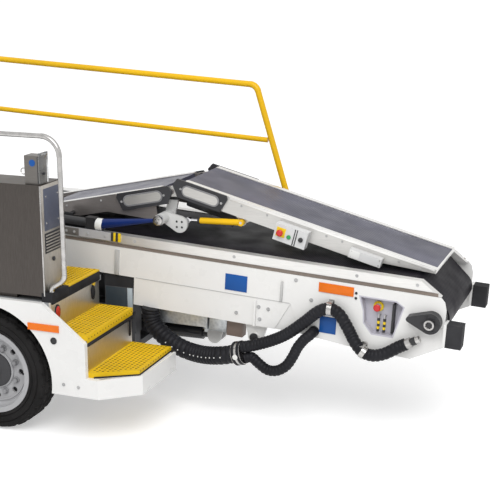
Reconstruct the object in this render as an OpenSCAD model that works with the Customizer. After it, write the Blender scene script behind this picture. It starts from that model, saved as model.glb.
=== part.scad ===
// Self-propelled baggage belt loader with a folding powered belt extension on its boom.
// Millimetres. +X is forward, +Y is the left side, +Z is up, and the wheels stand on Z = 0.

/* [Vehicle] */
// Width over the fenders
overall_w = 2300; // [2260:10:2340]
// Front axle, ahead of the middle of the machine
front_axle_x = 1400; // [1390:1:1410]
// Distance between the axles
wheelbase = 2600; // [2500:10:2700]
// Top of the fenders and of the driver's floor
deck_z = 830; // [800:5:850]
// Thickness of the fender, skirt and deck panels
panel_t = 30; // [20:1:36]

/* [Wheels] */
// Tyre radius
tyre_r = 360; // [350:1:364]
// Tyre width
tyre_w = 205; // [190:1:215]
// Radius of the rim under the tyre bead
rim_r = 240; // [225:1:245]
// Radius of the wheel spindles
spindle_r = 30; // [26:1:34]
// Radius of the kingpins
kingpin_r = 20; // [16:1:22]
// Gap from a tyre to its wheel arch
arch_gap = 70; // [60:1:80]

/* [Chassis] */
// Height of the frame rails
rail_h = 150; // [130:5:170]
// Width of a frame rail
rail_w = 80; // [60:5:90]
// Underside of the frame rails
rail_z = 430; // [425:1:440]
// Middle of a frame rail, from the centre line
rail_y = 330; // [320:1:340]
// Rear end of the frame rails
rail_rear_x = -2600; // [-2700:10:-2500]

/* [Boom] */
// Downward slope of the boom to the front when it is parked, in degrees
boom_slope = 3.2; // [3:0.1:3.4]
// Top of the boom's rails above the front axle
boom_z = 1104; // [1100:1:1120]
// Width over the boom's side plates
boom_w = 852; // [840:2:860]
// Depth of the boom's long side channels
channel_h = 257; // [250:1:270]
// Depth of the boom at its deep front section
deep_h = 430; // [420:1:440]
// Width of the main belt
belt_w = 720; // [680:5:730]
// Belt thickness
belt_t = 10; // [8:1:12]
// Radius of the belt's drive drum at the head
head_drum_r = 78; // [72:1:82]
// Radius of the tail drum
tail_drum_r = 90; // [80:1:92]
// Boom pivot in the rear tower, along and up
pivot_x = -2200; // [-2230:1:-2180]
// Height of the boom pivot
pivot_z = 900; // [895:1:910]

/* [Lift] */
// Radius of the lift cylinder barrels
barrel_r = 40; // [36:1:42]
// Radius of the lift cylinder rods
rod_r = 22; // [18:1:26]
// Lift cylinders, from the centre line
lift_y = 200; // [190:1:210]

/* [Extension] */
// Width over the decks of the extension
ext_w = 540; // [520:2:556]
// Length of the front deck
front_deck_l = 1600; // [1560:5:1610]
// Length of the rear deck
rear_deck_l = 1090; // [1060:5:1120]
// Radius of the tilt hinge shaft
hinge_r = 15; // [12:1:17]
// Radius of the tilt cylinder
tilt_barrel_r = 19; // [16:1:21]

/* [Hidden] */
$fn = 48;
rear_axle_x = front_axle_x - wheelbase;
half_w = overall_w / 2;
wheel_y = half_w - panel_t - tyre_w / 2;
arch_r = tyre_r + arch_gap;
fit = 0.05;
seat = 0.3;
skirt_z = 298;
rail_top = rail_z + rail_h;
rail_front_x = front_axle_x + 580;
inner_y = rail_y - rail_w / 2;
buffer_x0 = front_axle_x + 395;
buffer_x1 = front_axle_x + 640;
buffer_gap = 5;
buffer_z = 740;
outer_y = rail_y + rail_w / 2;
body_y = 500;
body_top = 950;
body_rear_x = rear_axle_x - 700;
floor_rear_x = front_axle_x - 440;

// Steps: each row is the tread's top, its back and its front, along the machine
tread_t = 30;
top_tread_t = 50;
step_rise = 218;
low_z = 443;
riser_t = 12;
riser_low_x = front_axle_x + 630;
riser_high_x = front_axle_x + 414;
nose_x = front_axle_x + 934;
nose_near_x = front_axle_x + 724;
nose_near_y = -half_w + 164;
step_in_y = -body_y - 50;
band_t = 14;

// Boom stations, in the boom's own frame: u along the belt, w across it, from the rail top above the axle
side_t = 6;
side_y = boom_w / 2;
rail_lip = 80;
rail_face_h = 52;
rail_end_u = 2510;
rail_cut = 120;
belt_top = -4;
bed_t = 6;
bed_top = belt_top - belt_t - 2;
idler_r = 60;
idler_uw = [2330, belt_top - belt_t - idler_r];
head_uw = [2470, -222];
tail_uw = [-5290, belt_top - belt_t - tail_drum_r];
snub_r = 40;
snub_uw = [1700, tail_uw[1] - tail_drum_r + snub_r];
bed_u0 = tail_uw[0] + 150;
bed_u1 = idler_uw[0] - 100;
boom_tail_u = -5434;
deep_u0 = 620;
deep_u1 = 1545;
head_u0 = 1560;
head_u1 = 2545;
eye_w = 60;
cheek_t = 15;
lift_eye = [front_axle_x + 1060, 430];
lift_foot = [-200, 400];
lift_run = lift_foot - lift_eye;
lift_len = norm(lift_run);
lift_angle = atan2(lift_run[1], lift_run[0]);

// Extension: the peak hinge, the slopes of the two decks and the tilt cylinder's ends
peak = [front_axle_x + 800, 1335];
front_top = 88;
rear_top = 37;
deck_h = 100;
peak_gap = 62;
tilt_foot = [front_axle_x + 905, 1166];
tilt_head = [front_axle_x + 1250, 1178];
tilt_run = tilt_foot - tilt_head;
tilt_len = norm(tilt_run);
tilt_angle = atan2(tilt_run[1], tilt_run[0]);

function to_boom(p) = let (dx = p[0] - front_axle_x, dz = p[1] - boom_z)
    [dx * cos(boom_slope) - dz * sin(boom_slope), dx * sin(boom_slope) + dz * cos(boom_slope)];
function unit(v) = v / norm(v);
function boom_plane_z(x, w) = boom_z - (x - front_axle_x) * tan(boom_slope) + w / cos(boom_slope);
pivot_uw = to_boom([pivot_x, pivot_z]);
lift_uw = to_boom(lift_eye);

// The decks' slopes follow from their lengths: each deck's far end rests just above the boom
peak_uw = to_boom(peak);
rear_tail_w = -10.5;
nose_w = -54.8;
front_end = front_deck_l + 70;
rear_rise = asin((peak_uw[1] - rear_tail_w) / rear_deck_l) - boom_slope;
front_fall = boom_slope + asin((peak_uw[1] - nose_w) / front_end);

// Shared forms

// A block between two corners
module block(a, b) {
    translate(a) cube(b - a);
}

// A side view, drawn as [along, up], made into a plate from y0 to y1
module side_view(y0, y1) {
    translate([0, y1, 0]) rotate([90, 0, 0]) linear_extrude(y1 - y0) children();
}

// A cross-section, drawn as [across, up], run along the machine from x0 to x1
module along(x0, x1) {
    translate([x0, 0, 0]) rotate([90, 0, 90]) linear_extrude(x1 - x0) children();
}

// A plan view, drawn as [along, across], raised from z0 to z1
module plan(z0, z1) {
    translate([0, 0, z0]) linear_extrude(z1 - z0) children();
}

// A round bar across the machine at [along, up]
module cross_bar(p, r, y0, y1) {
    translate([p[0], y1, p[1]]) rotate([90, 0, 0]) cylinder(r = r, h = y1 - y0);
}

module both_sides() {
    children();
    mirror([0, 1, 0]) children();
}

// The boom's own frame
module on_boom() {
    translate([front_axle_x, 0, boom_z]) rotate([0, boom_slope, 0]) children();
}

// A straight tube between two points
module tube(a, b, r) {
    d = b - a;
    translate(a) rotate([0, acos(d[2] / norm(d)), atan2(d[1], d[0])]) cylinder(r = r, h = norm(d));
}

// A bent tube in a side view: straight runs, and an elbow at each corner that takes their ends
elbow_over = 1.2;
run_in = 6;

function heading(a, b) = atan2(b[1] - a[1], b[0] - a[0]);
function half_turn(t) = t > 180 ? t - 360 : t < -180 ? t + 360 : t;
function turn(p, i) = half_turn(heading(p[i], p[i + 1]) - heading(p[i - 1], p[i]));
function is_end(p, i) = i == 0 || i == len(p) - 1;
function setback(p, bends, i) = is_end(p, i) ? 0 : bends[i - 1] * tan(abs(turn(p, i)) / 2) - run_in;

module tube_run(a, b, r) {
    translate(a) rotate([0, 0, heading(a, b)]) rotate([0, 90, 0]) cylinder(r = r, h = norm(b - a));
}

module tube_elbow(before, corner, angle, bend, r) {
    h = heading(before, corner);
    side = angle > 0 ? 1 : -1;
    start = corner - unit(corner - before) * bend * tan(abs(angle) / 2);
    translate(start + side * bend * [-sin(h), cos(h)]) rotate([0, 0, angle > 0 ? h - 90 : h + 90 + angle])
        rotate_extrude(angle = abs(angle)) translate([bend, 0]) circle(r + elbow_over);
}

module bent_tube(p, bends, r, y) {
    translate([0, y, 0]) rotate([90, 0, 0]) {
        for (i = [0 : len(p) - 2]) {
            dir = unit(p[i + 1] - p[i]);
            tube_run(p[i] + dir * setback(p, bends, i), p[i + 1] - dir * setback(p, bends, i + 1), r);
        }
        for (i = [1 : len(p) - 2]) tube_elbow(p[i - 1], p[i], turn(p, i), bends[i - 1], r);
    }
}

// Two round ends joined by their tangents, as [along, up]
module link_outline(p1, r1, p2, r2) {
    d = p2 - p1;
    a = atan2(d[1], d[0]);
    b = acos((r1 - r2) / norm(d));
    translate(p1) circle(r1);
    translate(p2) circle(r2);
    polygon([p1 + r1 * [cos(a + b), sin(a + b)], p2 + r2 * [cos(a + b), sin(a + b)],
             p2 + r2 * [cos(a - b), sin(a - b)], p1 + r1 * [cos(a - b), sin(a - b)]]);
}

// Chassis

unit_mounts = [-300, 640];

module lift_cheeks() {
    for (s = [-1, 1]) {
        side_view(lift_y + s * (eye_w / 2 + 5 + cheek_t / 2) - cheek_t / 2,
                  lift_y + s * (eye_w / 2 + 5 + cheek_t / 2) + cheek_t / 2)
            polygon([[lift_foot[0] - 180, 360], [lift_foot[0] + 40, 360], [lift_foot[0] + 60, 400],
                     [lift_foot[0] + 40, 450], [lift_foot[0] - 180, 480]]);
    }
}

module chassis_frame() {
    color("dimgray") both_sides()
        along(rail_rear_x, rail_front_x) translate([inner_y, rail_z]) square([rail_w, rail_h]);
}

// Crossmembers, outriggers, axle pads and buffer posts, welded to the rails
front_leg_z = 320;
outrigger_end_y = half_w - panel_t;

module frame_members() {
    color("dimgray") {
        both_sides() {
            lift_cheeks();
            block([rail_front_x - 90, inner_y, front_leg_z], [rail_front_x - 10, outer_y, rail_z]);
            for (x = [rear_axle_x - 550, rear_axle_x + 550, front_axle_x - 500]) {
                block([x - 30, outer_y, rail_z + 50], [x + 30, outrigger_end_y, rail_z + 100]);
            }
            block([rail_front_x - 60, outer_y, rail_z + 50],
                  [rail_front_x - 20, outrigger_end_y, rail_z + 90]);
            block([buffer_x0, rail_y - 30, rail_top],
                  [rail_front_x, side_y - side_t - buffer_gap, buffer_z]);
            for (x = [front_axle_x, rear_axle_x]) {
                block([x - 60, inner_y + 5, x > 0 ? 350 : 415], [x + 60, outer_y - 5, rail_z]);
            }
        }
        block([rail_front_x - 90, -inner_y, front_leg_z], [rail_front_x - 10, inner_y, front_leg_z + 40]);
        block([lift_foot[0] - 260, -inner_y, 360], [lift_foot[0] - 180, inner_y, rail_top]);
        for (x = [rear_axle_x - 500, rail_rear_x + 10]) {
            block([x, -inner_y, rail_z], [x + 80, inner_y, rail_top]);
        }
        for (x = unit_mounts) block([x, outer_y, rail_z - 20], [x + 60, half_w - 90, rail_z + 20]);
    }
}

kingpin_y = wheel_y - 78;
boss_r = kingpin_r + 14;
boss_h = 130;

module front_axle() {
    color("dimgray") translate([front_axle_x, 0, 0]) {
        difference() {
            union() {
                block([-45, -kingpin_y + 40, 275], [45, kingpin_y - 40, 350]);
                both_sides() {
                    block([-32, kingpin_y - 60, 300], [32, kingpin_y, 400]);
                    translate([0, kingpin_y, tyre_r - boss_h / 2]) cylinder(r = boss_r, h = boss_h);
                }
            }
            both_sides() translate([0, kingpin_y, 0]) cylinder(r = kingpin_r + fit, h = 2 * tyre_r);
        }
    }
}

hub_in = -10;
hub_out = 60;

module rear_axle() {
    color("dimgray") {
        cross_bar([rear_axle_x, tyre_r], 55, -wheel_y + 130, wheel_y - 130);
        cross_bar([rear_axle_x, tyre_r], spindle_r, -wheel_y - hub_out + 3, wheel_y + hub_out - 3);
        both_sides() cross_bar([rear_axle_x, tyre_r], 75, wheel_y - 130, wheel_y - 105);
        translate([rear_axle_x, 0, tyre_r]) sphere(r = 140);
    }
}

knuckle_gap = 2;
lug_t = 25;
web_y = 38;

module knuckle() {
    z0 = tyre_r - boss_h / 2 - knuckle_gap - lug_t;
    z1 = tyre_r + boss_h / 2 + knuckle_gap + lug_t;
    translate([front_axle_x, kingpin_y, 0]) {
        translate([0, 0, z0]) cylinder(r = kingpin_r, h = z1 - z0);
        for (z = [z0, z1 - lug_t]) {
            translate([0, 0, z]) cylinder(r = boss_r, h = lug_t);
            block([-boss_r, 0, z], [boss_r, web_y + 20, z + lug_t]);
        }
        block([-45, web_y, z0], [45, web_y + 20, z1]);
        cross_bar([0, tyre_r], spindle_r, web_y + 10, wheel_y - kingpin_y + hub_out - 3);
    }
}

module knuckle_left() {
    color("dimgray") knuckle();
}

module knuckle_right() {
    color("dimgray") mirror([0, 1, 0]) knuckle();
}

// Wheels

shoulder_r = 34;
bead_w = 172;
flange_t = 10;
flange_h = 13;

module tyre(x, side) {
    translate([x, side * wheel_y, tyre_r]) rotate([90, 0, 0]) rotate_extrude($fn = 96) {
        translate([rim_r + seat, -bead_w / 2]) square([flange_h + 8, bead_w]);
        translate([rim_r + flange_h + 2, -tyre_w / 2])
            square([tyre_r - rim_r - flange_h - 2 - shoulder_r, tyre_w]);
        translate([tyre_r - shoulder_r - 1, -tyre_w / 2 + shoulder_r])
            square([shoulder_r + 1, tyre_w - 2 * shoulder_r]);
        for (s = [-1, 1]) translate([tyre_r - shoulder_r, s * (tyre_w / 2 - shoulder_r)]) circle(shoulder_r);
    }
}

barrel_t = 16;
disc_y = 22;
disc_t = 14;
hub_r = 78;
hand_holes = 8;
hand_hole_r = 17;
hand_hole_pcr = 165;

// The rim's outer face is toward +Y before it is put on its side
module rim(x, side) {
    translate([x, side * wheel_y, tyre_r]) rotate([side > 0 ? -90 : 90, 0, 0]) difference() {
        rotate_extrude($fn = 96) {
            translate([rim_r - barrel_t, -bead_w / 2]) square([barrel_t, bead_w]);
            for (s = [-1, 1]) translate([rim_r - barrel_t, s * (bead_w + flange_t) / 2 - flange_t / 2])
                square([barrel_t + flange_h, flange_t - seat]);
            translate([hub_r - 1, disc_y]) square([rim_r - barrel_t - hub_r + 2, disc_t]);
            translate([spindle_r + fit, hub_in]) square([hub_r - spindle_r - fit, hub_out - hub_in]);
        }
        for (i = [0 : hand_holes - 1]) rotate([0, 0, i * 360 / hand_holes])
            translate([hand_hole_pcr, 0, disc_y - 1]) cylinder(r = hand_hole_r, h = disc_t + 2);
    }
}

module tyre_front_right() { color("#202022") tyre(front_axle_x, -1); }
module tyre_front_left() { color("#202022") tyre(front_axle_x, 1); }
module tyre_rear_right() { color("#202022") tyre(rear_axle_x, -1); }
module tyre_rear_left() { color("#202022") tyre(rear_axle_x, 1); }
module rim_front_right() { color("silver") rim(front_axle_x, -1); }
module rim_front_left() { color("silver") rim(front_axle_x, 1); }
module rim_rear_right() { color("silver") rim(rear_axle_x, -1); }
module rim_rear_left() { color("silver") rim(rear_axle_x, 1); }

// Rear tower that carries the boom

module pivot_tower() {
    color("#e9e9e6") {
        both_sides() difference() {
            side_view(inner_y, outer_y) {
                polygon([[pivot_x - 260, rail_top], [pivot_x + 260, rail_top], [pivot_x + 58, pivot_z + 10],
                         [pivot_x - 58, pivot_z + 10]]);
                translate([pivot_x, pivot_z]) circle(60);
            }
            cross_bar([pivot_x, pivot_z], spindle_r + fit, inner_y - 1, outer_y + 1);
        }
        block([pivot_x - 60, -inner_y, rail_top], [pivot_x + 60, inner_y, rail_top + 60]);
    }
}

module boom_buffers() {
    color("#1c1c1e") both_sides() side_view(side_y - 56, side_y - side_t - buffer_gap)
        polygon([[buffer_x0, buffer_z], [buffer_x1, buffer_z],
                 [buffer_x1, boom_plane_z(buffer_x1, -channel_h - seat)],
                 [buffer_x0, boom_plane_z(buffer_x0, -channel_h - seat)]]);
}

// Driver's side at the front: fender, steps and console

knee_x = front_axle_x + 380;
slope_x = front_axle_x + 650;
slope_z = 618;
band_z = low_z - tread_t;

module fender_right() {
    color("#efefed") side_view(-half_w, -half_w + panel_t) difference() {
        polygon([[floor_rear_x, skirt_z], [floor_rear_x, deck_z], [knee_x, deck_z], [slope_x, slope_z],
                 [slope_x, band_z], [nose_near_x, band_z], [nose_near_x, skirt_z]]);
        translate([front_axle_x, tyre_r]) circle(arch_r, $fn = 96);
    }
}

module step_plan(t) {
    polygon([[nose_near_x, -half_w + t], [nose_x - 10 - t, nose_near_y + t / 2], [nose_x - t, step_in_y],
             [riser_low_x, step_in_y], [riser_low_x, -half_w + t]]);
}

module step_box() {
    color("#efefed") {
        plan(skirt_z, band_z) difference() {
            intersection() {
                step_plan(0);
                translate([nose_near_x, -half_w]) square([400, half_w + step_in_y]);
            }
            step_plan(band_t);
        }
        block([riser_low_x, step_in_y - band_t, skirt_z], [nose_near_x, step_in_y, band_z]);
        block([riser_low_x - band_t, -half_w + panel_t, skirt_z], [riser_low_x, step_in_y, band_z]);
    }
}

module step_risers() {
    color("#c9ccd0") {
        block([riser_low_x, -half_w + panel_t, band_z],
              [riser_low_x + riser_t, step_in_y, low_z + step_rise - tread_t]);
        block([riser_high_x, -half_w + panel_t, low_z + step_rise],
              [riser_high_x + riser_t, step_in_y, deck_z]);
    }
}

module step_treads() {
    color("#f2c21a") {
        plan(band_z, low_z)
            polygon([[riser_low_x + riser_t, -half_w + panel_t], [nose_near_x - 40, -half_w + panel_t],
                     [nose_x - 30, nose_near_y], [nose_x - 30, step_in_y],
                     [riser_low_x + riser_t, step_in_y]]);
        block([riser_high_x, -half_w + panel_t, low_z + step_rise - tread_t],
              [riser_low_x + 22, step_in_y, low_z + step_rise]);
        plan(deck_z, deck_z + top_tread_t)
            polygon([[console_front_x + 4, -half_w + panel_t], [riser_high_x + 20, -half_w + panel_t],
                     [riser_high_x + 20, step_in_y], [riser_high_x - 200, step_in_y],
                     [riser_high_x - 200, console_in_y + 6], [console_front_x + 4, console_in_y + 6]]);
    }
}

module driver_floor() {
    color("#8d9094") {
        block([floor_rear_x, -half_w + panel_t, deck_z - panel_t], [riser_high_x, -body_y, deck_z]);
        block([riser_high_x - 12, -half_w + panel_t, low_z + step_rise - tread_t - 120],
              [riser_high_x, step_in_y, deck_z - panel_t]);
    }
}

console_front_x = front_axle_x + 390;
console_l = 440;
console_w = 220;
console_in_y = -half_w + panel_t + console_w;
console_z = 860;
console_top = 1500;
sheet_t = 12;

module console_cabinet() {
    color("#b9bcc0") {
        block([console_front_x - console_l + 20, -half_w + panel_t + 30, deck_z],
              [console_front_x - 200, console_in_y - 20, console_z]);
        difference() {
            block([console_front_x - console_l, -half_w + panel_t, console_z],
                  [console_front_x, console_in_y, console_top]);
            block([console_front_x - console_l + sheet_t, -half_w + panel_t + sheet_t, console_z + sheet_t],
                  [console_front_x - sheet_t, console_in_y - sheet_t, console_top - sheet_t]);
        }
    }
}

module console_top_box() {
    color("#c9ccd0") block([console_front_x - 103, -half_w + panel_t + 20, console_top],
                           [console_front_x - 10, -half_w + panel_t + 100, console_top + 160]);
}

grab_r = 14;

module grab_rail() {
    y = -half_w + panel_t + 30;
    x0 = front_axle_x - 760;
    x1 = front_axle_x + 505;
    foot_z = deck_z + top_tread_t;
    top = 1772;
    color("#c9ccd0") {
        bent_tube([[x1 - 87, foot_z], [x1 - 87, foot_z + 26], [x1, foot_z + 82], [x1, top],
                   [x0, top], [x0, body_top]], [40, 60, 110, 110], grab_r, y);
        translate([x0, y, body_top]) cylinder(r = grab_r + 12, h = 12);
    }
}

seat_x = front_axle_x - 780;

module driver_seat() {
    color("#2a2b2e") side_view(-half_w + 140, -body_y - 50) polygon([
        [seat_x, body_top], [seat_x + 420, body_top], [seat_x + 440, body_top + 190],
        [seat_x + 110, body_top + 170], [seat_x + 20, body_top + 720],
        [seat_x - 80, body_top + 700], [seat_x - 20, body_top + 60]]);
}

module steering_column() {
    base = [console_front_x - console_l + 30, 1300];
    y = console_in_y + 60;
    color("#26272a") {
        block([base[0] - 10, y - 55, deck_z], [base[0] + 90, y + 55, base[1] + 40]);
        translate([base[0], y, base[1]]) rotate([0, -60, 0]) {
            cylinder(r = 22, h = 210);
            translate([0, 0, 220]) rotate_extrude($fn = 64) translate([185, 0]) circle(14);
            translate([0, 0, 210]) cylinder(r = 40, h = 20);
            for (a = [90, 210, 330]) rotate([0, 0, a]) translate([0, -10, 215]) cube([185, 20, 10]);
        }
    }
}

// Bodies at the sides

module body_shell(x0, x1) {
    difference() {
        block([x0, body_y, skirt_z + 60], [x1, half_w, body_top]);
        block([x0 + panel_t, body_y + panel_t, skirt_z],
              [x1 - panel_t, half_w - panel_t, body_top - panel_t]);
        block([x0 - 1, body_y - 1, skirt_z], [x1 + 1, half_w - panel_t, rail_top + 20]);
        cross_bar([rear_axle_x, tyre_r], arch_r, body_y - 1, half_w + 1, $fn = 96);
    }
}

module body_right() {
    color("#efefed") mirror([0, 1, 0]) body_shell(body_rear_x, floor_rear_x);
}

left_front_x = front_axle_x + 560;
hood_x0 = -600;
hood_x1 = 900;
hood_h = 40;
hood_rim = 30;
hood_y0 = body_y + 20;
hood_y1 = half_w - 20;
hood_hinges = [-300, 600];
hood_pin = [body_y + 5, body_top + hood_h];
hood_pin_r = 6;

module body_left() {
    color("#efefed") for (x = hood_hinges) {
        for (s = [-1, 1]) block([x + s * 40 - 10, body_y, body_top],
                                [x + s * 40 + 10, body_y + 12, hood_pin[1] + 12]);
        tube([x - 45, hood_pin[0], hood_pin[1]], [x + 45, hood_pin[0], hood_pin[1]], hood_pin_r);
    }
    color("#efefed") difference() {
        body_shell(body_rear_x, left_front_x);
        cross_bar([front_axle_x, tyre_r], arch_r, body_y - 1, half_w + 1, $fn = 96);
        block([hood_x0 + hood_rim, hood_y0 + hood_rim, body_top - panel_t - 1],
              [hood_x1 - hood_rim, hood_y1 - hood_rim, body_top + 1]);
        side_view(body_y - 1, half_w + 1)
            polygon([[knee_x, body_top + 1], [left_front_x + 1, body_top + 1], [left_front_x + 1, 760]]);
    }
}

module engine_hood() {
    color("#efefed") difference() {
        union() {
            block([hood_x0, hood_y0, body_top + 1], [hood_x1, hood_y1, body_top + hood_h]);
            for (x = hood_hinges) block([x - 25, hood_pin[0] - 10, hood_pin[1] - 13],
                                        [x + 25, hood_y0 + 1, hood_pin[1] + 13]);
        }
        for (x = hood_hinges) tube([x - 30, hood_pin[0], hood_pin[1]], [x + 30, hood_pin[0], hood_pin[1]],
                                   hood_pin_r + fit);
        block([hood_x0 + 15, hood_y0 + 15, body_top], [hood_x1 - 15, hood_y1 - 15, body_top + hood_h - 15]);
    }
}

module power_unit() {
    color("#3a3c40") block([unit_mounts[0] - 80, body_y + 40, rail_z + 20],
                           [unit_mounts[1] + 140, half_w - 90, 860]);
}

bumper_rear_t = 90;
hitch_r = 16;
hitch_gap = 60;

module rear_bumper() {
    x0 = rail_rear_x - bumper_rear_t;
    color("#2a2b2e") difference() {
        union() {
            block([x0, -half_w + 250, rail_z - 40], [rail_rear_x, half_w - 250, rail_z + 110]);
            for (z = [rail_z + 30 + hitch_gap / 2, rail_z + 10 - hitch_gap / 2])
                block([x0 - 110, -60, z - 10], [x0, 60, z + 10]);
        }
        translate([x0 - 65, 0, rail_z - 100]) cylinder(r = hitch_r, h = 300);
    }
}

module lamps() {
    color("#e08a1e") {
        both_sides() block([front_axle_x + 290, half_w, 670], [front_axle_x + 490, half_w + 6, 710]);
        both_sides() block([rail_rear_x - bumper_rear_t - 8, half_w - 410, rail_z],
                           [rail_rear_x - bumper_rear_t, half_w - 290, rail_z + 70]);
    }
}

// Boom: channels, rails, belt and head

module boom_channels() {
    color("#efefed") on_boom() {
        both_sides() along(boom_tail_u, head_u0) {
            translate([side_y - side_t, -channel_h]) square([side_t, channel_h - rail_lip]);
            translate([side_y - 56, -channel_h]) square([56, side_t]);
            translate([side_y - 56, -rail_lip - side_t]) square([56, side_t]);
        }
        block([bed_u0, -side_y + 56, -rail_lip - side_t], [bed_u1, side_y - 56, -rail_lip]);
        block([bed_u0, -belt_w / 2, bed_top - bed_t], [bed_u1, belt_w / 2, bed_top]);
        for (y = [-250, 0, 250]) block([bed_u0, y - 15, -rail_lip], [bed_u1, y + 15, bed_top - bed_t + 2]);
        block([pivot_uw[0] - 70, -side_y, -channel_h - 70], [pivot_uw[0] + 70, side_y, -channel_h]);
        both_sides() side_view(inner_y - 45, inner_y - 5) {
            polygon([[pivot_uw[0] - 70, -channel_h - 60], [pivot_uw[0] + 70, -channel_h - 60],
                     [pivot_uw[0] + 55, pivot_uw[1]], [pivot_uw[0] - 55, pivot_uw[1]]]);
            translate(pivot_uw) circle(55);
        }
        cross_bar(pivot_uw, spindle_r, -outer_y - 8, outer_y + 8);
    }
}

rail_in_y = belt_w / 2 + 16;

module boom_rails() {
    color("#c4c7ca") on_boom() intersection() {
        both_sides() along(boom_tail_u, rail_end_u)
            polygon([[rail_in_y, -rail_lip], [side_y - 10, -rail_lip], [side_y - 10, -rail_face_h - 4],
                     [side_y + 4, -rail_face_h], [side_y + 4, 0], [rail_in_y, 0]]);
        side_view(-side_y - 10, side_y + 10)
            polygon([[boom_tail_u - 1, -rail_lip - 1], [rail_end_u, -rail_lip - 1],
                     [rail_end_u - rail_cut, 1], [boom_tail_u - 1, 1]]);
    }
}

// The belt runs over the nose idler, round the drive drum and over the snub roller back to the tail
module belt_outline(t) {
    link_outline(tail_uw, tail_drum_r + t, idler_uw, idler_r + t);
    link_outline(idler_uw, idler_r + t, head_uw, head_drum_r + t);
    link_outline(head_uw, head_drum_r + t, snub_uw, snub_r + t);
    link_outline(snub_uw, snub_r + t, tail_uw, tail_drum_r + t);
    polygon([tail_uw, idler_uw, head_uw, snub_uw]);
}

module main_belt() {
    color("#2b2c33") on_boom() side_view(-belt_w / 2, belt_w / 2) difference() {
        belt_outline(belt_t);
        belt_outline(seat);
    }
}

// Each roller's place in the boom's frame, its radius and the end of its shaft
at = 0;
size = 1;
shaft_y = 2;
rollers = [[idler_uw, idler_r, rail_in_y], [head_uw, head_drum_r, side_y - side_t],
           [snub_uw, snub_r, side_y - side_t], [tail_uw, tail_drum_r, side_y - side_t]];
roller_shaft_r = 17;

module belt_drums() {
    color("#55585c") on_boom() {
        for (roller = rollers) {
            cross_bar(roller[at], roller[size], -belt_w / 2 + 5, belt_w / 2 - 5);
            cross_bar(roller[at], roller_shaft_r, -roller[shaft_y], roller[shaft_y]);
        }
    }
}

lug_uw = [1420, -506];

module deep_plates() {
    color("#efefed") on_boom() {
        both_sides() {
            side_view(side_y - side_t, side_y)
                polygon([[deep_u0, -channel_h], [deep_u1 + 90, -channel_h], [deep_u1, -deep_h],
                         [deep_u0, -deep_h]]);
            block([deep_u0 + 80, side_y - 60, -deep_h], [deep_u1 - 20, side_y - side_t, -deep_h + side_t]);
            block([deep_u0 + 800 - 6, side_y, -deep_h], [deep_u0 + 800 + 6, side_y + 16, -channel_h - 14]);
            side_view(side_y - 50, side_y - 30) {
                polygon([[lug_uw[0] - 70, -deep_h], [lug_uw[0] + 70, -deep_h], [lug_uw[0] + 50, lug_uw[1]],
                         [lug_uw[0] - 50, lug_uw[1]]]);
                translate(lug_uw) circle(50);
            }
            cross_bar(lug_uw, 25, side_y - 70, side_y - 12);
            for (s = [-1, 1]) side_view(lift_y + s * (eye_w / 2 + 5 + cheek_t / 2) - cheek_t / 2,
                                        lift_y + s * (eye_w / 2 + 5 + cheek_t / 2) + cheek_t / 2) {
                polygon([[lift_uw[0] - 60, -deep_h + 10], [lift_uw[0] + 80, -deep_h + 10],
                         [lift_uw[0] + 45, lift_uw[1]], [lift_uw[0] - 45, lift_uw[1]]]);
                translate(lift_uw) circle(45);
            }
            cross_bar(lift_uw, kingpin_r, lift_y - eye_w / 2 - 20, lift_y + eye_w / 2 + 20);
        }
        block([lift_uw[0] - 60, -side_y + side_t, -deep_h],
              [lift_uw[0] + 80, side_y - side_t, -deep_h + 90]);
    }
}

module head_outline() {
    polygon([[head_u0, -rail_lip], [rail_end_u, -rail_lip], [head_u1 - 12, -105], [head_u1, -150],
             [head_u1, -370], [head_u1 - 180, -468], [head_u1 - 560, -455], [head_u0 + 140, -430],
             [head_u0 + 75, -channel_h], [head_u0, -channel_h]]);
}

// The control recess in the right head plate
module recess_outline() {
    polygon([[2040, -139], [2262, -139], [2310, -168], [2258, -362], [2130, -362], [2076, -300],
             [2070, -230]]);
}

recess_depth = 60;
recess_wall = 8;
bumper_w = [-352, -217];

module head_plates() {
    color("#efefed") on_boom() {
        difference() {
            both_sides() side_view(side_y - side_t, side_y) head_outline();
            side_view(-side_y - 1, -side_y + side_t + 1) recess_outline();
        }
        both_sides() block([head_u1, side_y - 46, bumper_w[0]], [head_u1 + 16, side_y + 40, bumper_w[1]]);
        block([head_u0 + 300, -side_y + side_t, -400], [head_u0 + 360, side_y - side_t, -340]);
    }
}

motor_r = 60;

module head_motor() {
    color("#2a2b2e") on_boom() {
        side_view(-side_y - 62, -side_y) link_outline(head_uw, motor_r, head_uw - [120, -8], 16);
        cross_bar(head_uw, 30, -side_y - 82, -side_y - 60);
    }
}

module head_bumpers() {
    color("#1f1f21") on_boom() both_sides()
        block([head_u1 + 16, side_y - 51, bumper_w[0]], [head_u1 + 105, side_y + 39, bumper_w[1]]);
}

module control_panel() {
    color("#d9dadb") on_boom() {
        difference() {
            side_view(-side_y, -side_y + recess_depth) recess_outline();
            side_view(-side_y - 1, -side_y + recess_depth - recess_wall)
                offset(delta = -recess_wall) recess_outline();
        }
        cross_bar([2150, -200], 18, -side_y + 14, -side_y + recess_depth - 2);
    }
}

module sub_rails() {
    color("#9b9fa3") on_boom() both_sides() {
        side_view(side_y - 130, side_y - 62)
            polygon([[deep_u0 + 80, -540], [deep_u0 + 80, -deep_h], [deep_u0 + 460, -deep_h],
                     [deep_u0 + 460, -520]]);
        block([deep_u0 + 460, side_y - 140, -545], [deep_u0 + 475, side_y - 52, -430]);
    }
}

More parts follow.
